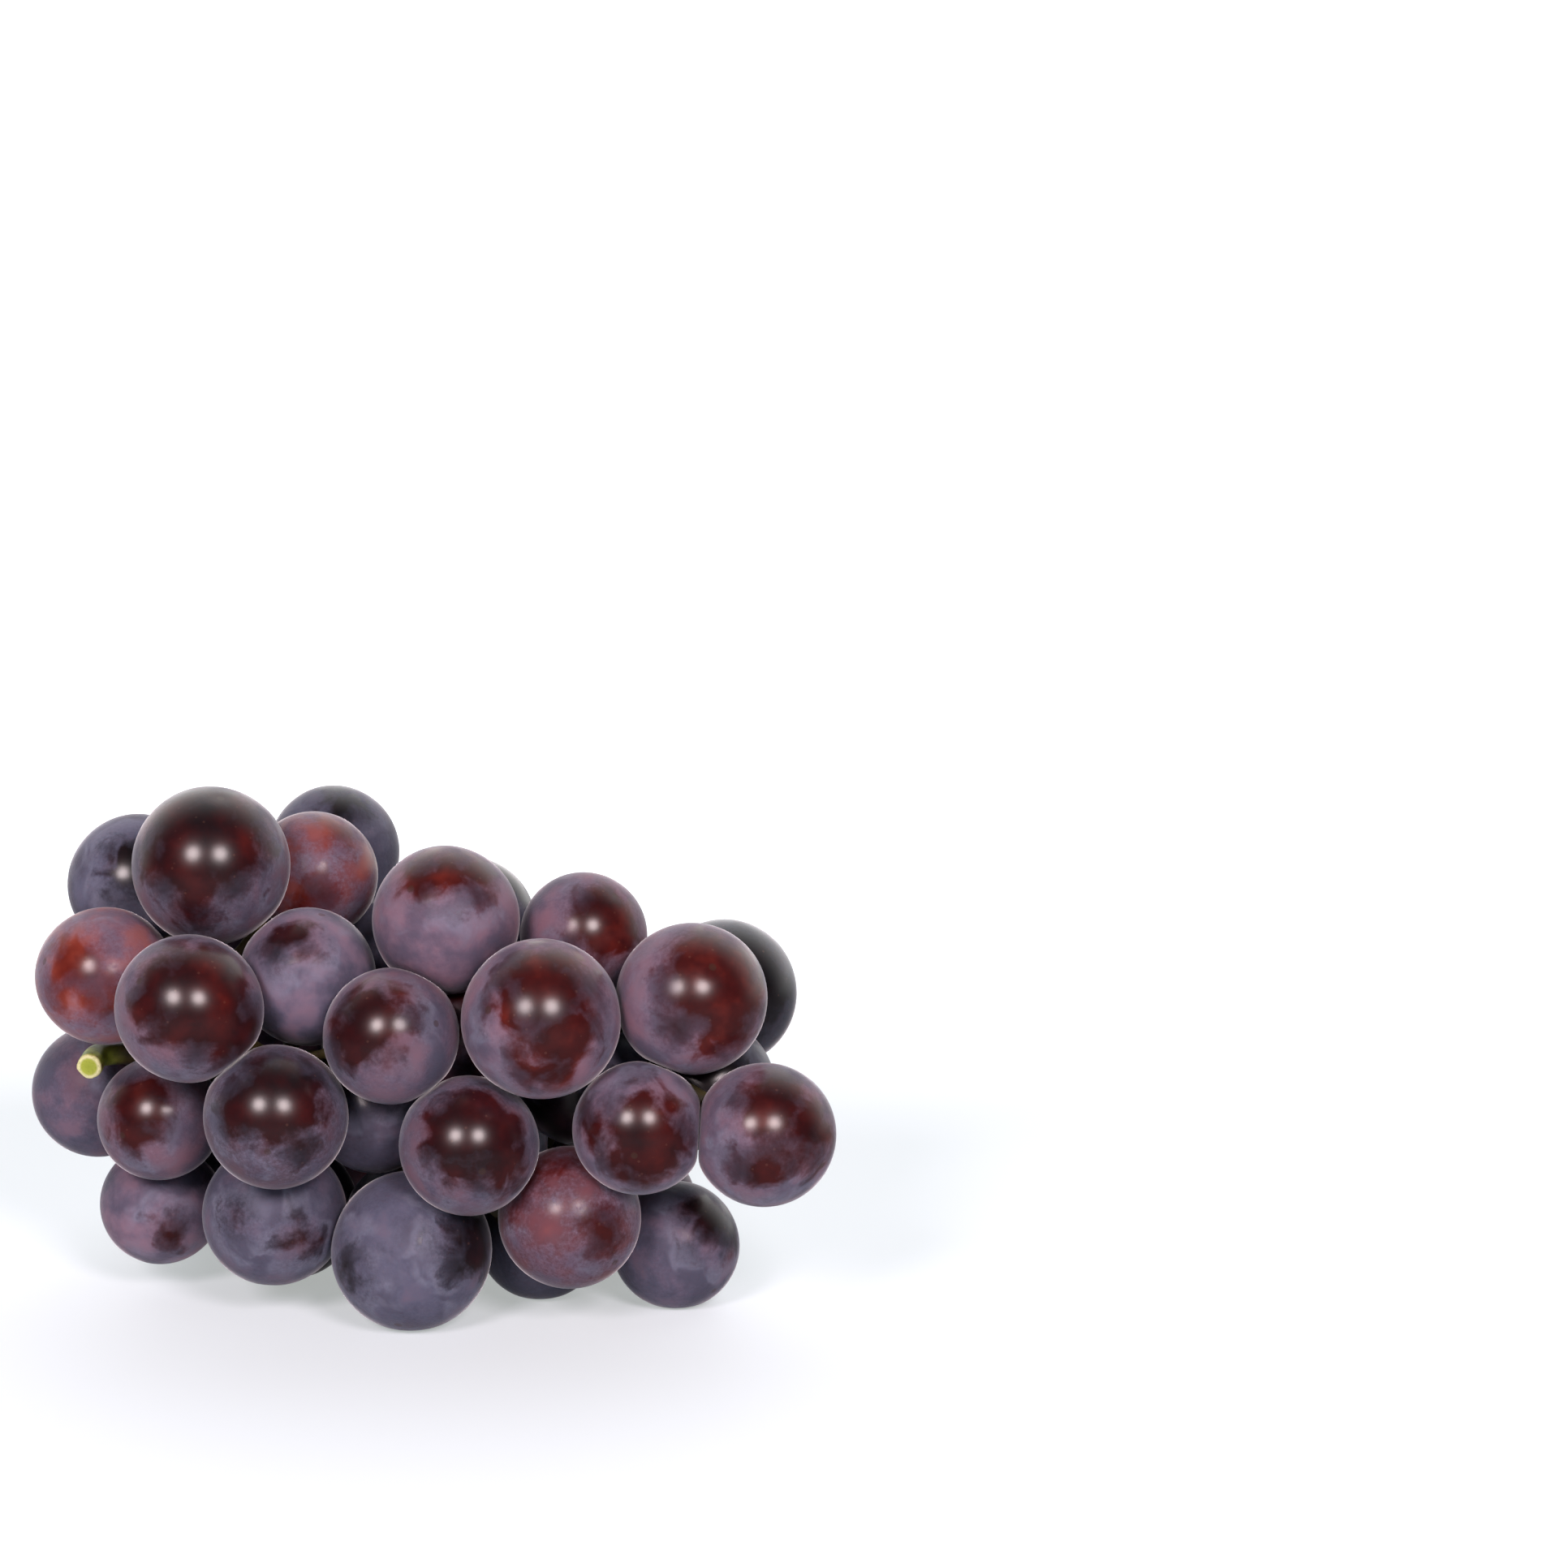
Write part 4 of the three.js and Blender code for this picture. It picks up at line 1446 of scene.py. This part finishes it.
@dataclass
class Studio:
    """The white surface, two soft lamps, a pale room that is bright behind the bunch, and the camera."""

    eye: Eye
    shift: Point
    pixel_mm: float = 0.11  # of the picture, at the bunch
    pixels: int = 1932
    floor_m: float = 30.0
    room_way: tuple[float, float] = (-0.2, 0.9)  # where the room starts to brighten, and is brightest
    room_glow: tuple[float, float] = (0.015, 1.8)
    middle_m: float = 0.035  # the height that the lamps shine at
    lamp_turns: tuple[float, ...] = (-22.0, 22.0)  # in degrees, 0 where the camera is and more to the right
    lamp_rise: float = 31.0  # in degrees
    lamp_m: float = 1.1  # from the bunch
    lamp_width_m: float = 0.32
    lamp_watts: float = 7.9
    lamp_tone: str = "#ffeef0"

    def build(self) -> None:
        """Builds the studio."""
        self.floor()
        self.room()
        for turn in self.lamp_turns:
            self.lamp(turn)
        self.camera()
        bpy.context.scene.view_settings.view_transform = "Standard"

    def floor(self) -> None:
        """Lays a plain white surface that runs far back."""
        shape = bmesh.new()
        bmesh.ops.create_grid(shape, x_segments=1, y_segments=1, size=self.floor_m / 2)
        mesh = mesh_of("white_surface", shape)
        mesh.materials.append(WhitePaper().material())
        place_object("white_surface", mesh)

    def room(self) -> None:
        """Makes the world white to the camera, and to the light bright behind the bunch, dim before it."""
        world = bpy.data.worlds.new("studio")
        bpy.context.scene.world = world
        world.use_nodes = True
        add = partial(add_node, world.node_tree)
        back = add(Kind.PARTS, add(Kind.PLACE).outputs["Generated"]).outputs["Y"]
        glow = add(Kind.SOFT_RANGE, back, *self.room_way, *self.room_glow)
        seen = add(Kind.RAY).outputs["Is Camera Ray"]
        background = world.node_tree.nodes["Background"]
        feed(background, {"Color": add(Kind.MIX, seen, glow, "#ffffff"), "Strength": 1.0})

    def lamp(self, turn: float) -> None:
        """Adds a soft round lamp that shines on the bunch.

        Args:
            turn: how far round it stands, in degrees.
        """
        name = "lamp_left" if turn < 0 else "lamp_right"
        light = bpy.data.lights.new(name, "AREA")
        light.shape = "DISK"
        light.size = self.lamp_width_m
        light.energy = self.lamp_watts
        light.color = colour(self.lamp_tone)[:3]
        lamp = place_object(name, light)
        around, above = math.radians(turn), math.radians(self.lamp_rise)
        way = Vector(
            (math.sin(around) * math.cos(above), -math.cos(around) * math.cos(above), math.sin(above))
        )
        lamp.location = Vector((0.0, 0.0, self.middle_m)) + way * self.lamp_m
        lamp.rotation_euler = (-way).to_track_quat("-Z", "Y").to_euler()

    def camera(self) -> None:
        """Puts the camera where the photograph was taken from."""
        data = bpy.data.cameras.new("camera")
        data.sensor_fit = "AUTO"
        data.angle = 2 * math.atan(self.pixels * self.pixel_mm / 2 / self.eye.distance)
        data.clip_start, data.clip_end = 0.05, 100.0
        camera = place_object("camera", data)
        camera.location = Vector(plus(self.eye.place(), self.shift)) * MM
        camera.rotation_euler = (math.pi / 2 - self.eye.tilt, 0.0, 0.0)
        bpy.context.scene.camera = camera


def shift_to_frame(layout: Layout) -> Point:
    """How far the layout moves to lie over the frame's origin. A spray off its solid gives a warning.

    Args:
        layout: the berries.

    Returns:
        The shift, in millimetres.
    """
    low, high = span_of(layout.berries)
    start, end = CAD_BOX
    shift = [(start[k] + end[k]) / 2 / MM - (low[k] + high[k]) / 2 for k in (0, 1)] + [0.0]
    for spray in layout.sprays:
        first, last = [plus(corner, shift) for corner in span_of(spray.members)]
        first[2] = max(first[2], 0.0)
        near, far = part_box(f"spray_{spray.number + 1}")
        off = max(abs(a - b / MM) for a, b in zip([*first, *last], [*near, *far]))
        if off > SOLID_TOLERANCE:
            log.warning("spray_%d lies %.2f mm from its solid", spray.number + 1, off)
    return shift


def span_of(berries: Sequence[Berry]) -> tuple[Point, Point]:
    """The lowest and the highest corner of the box round some berries."""
    low = [min(berry.centre[k] - berry.radius for berry in berries) for k in range(3)]
    high = [max(berry.centre[k] + berry.radius for berry in berries) for k in range(3)]
    return low, high


def main() -> None:
    """Builds the bunch and its studio."""
    logging.basicConfig(level=logging.INFO, format="%(name)s: %(message)s")
    eye = Eye()
    layout = Layout(eye)
    stem_lines = StemLayout(layout)
    shift = shift_to_frame(layout)
    log.info("layout shifted by %.3f, %.3f, %.3f mm", *shift)
    Berries(layout, eye, shift).build(GrapeSkin().material())
    Stem(stem_lines, shift).build(GreenStem().material())
    Studio(eye, shift).build()
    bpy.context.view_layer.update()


if __name__ == "__main__":
    main()
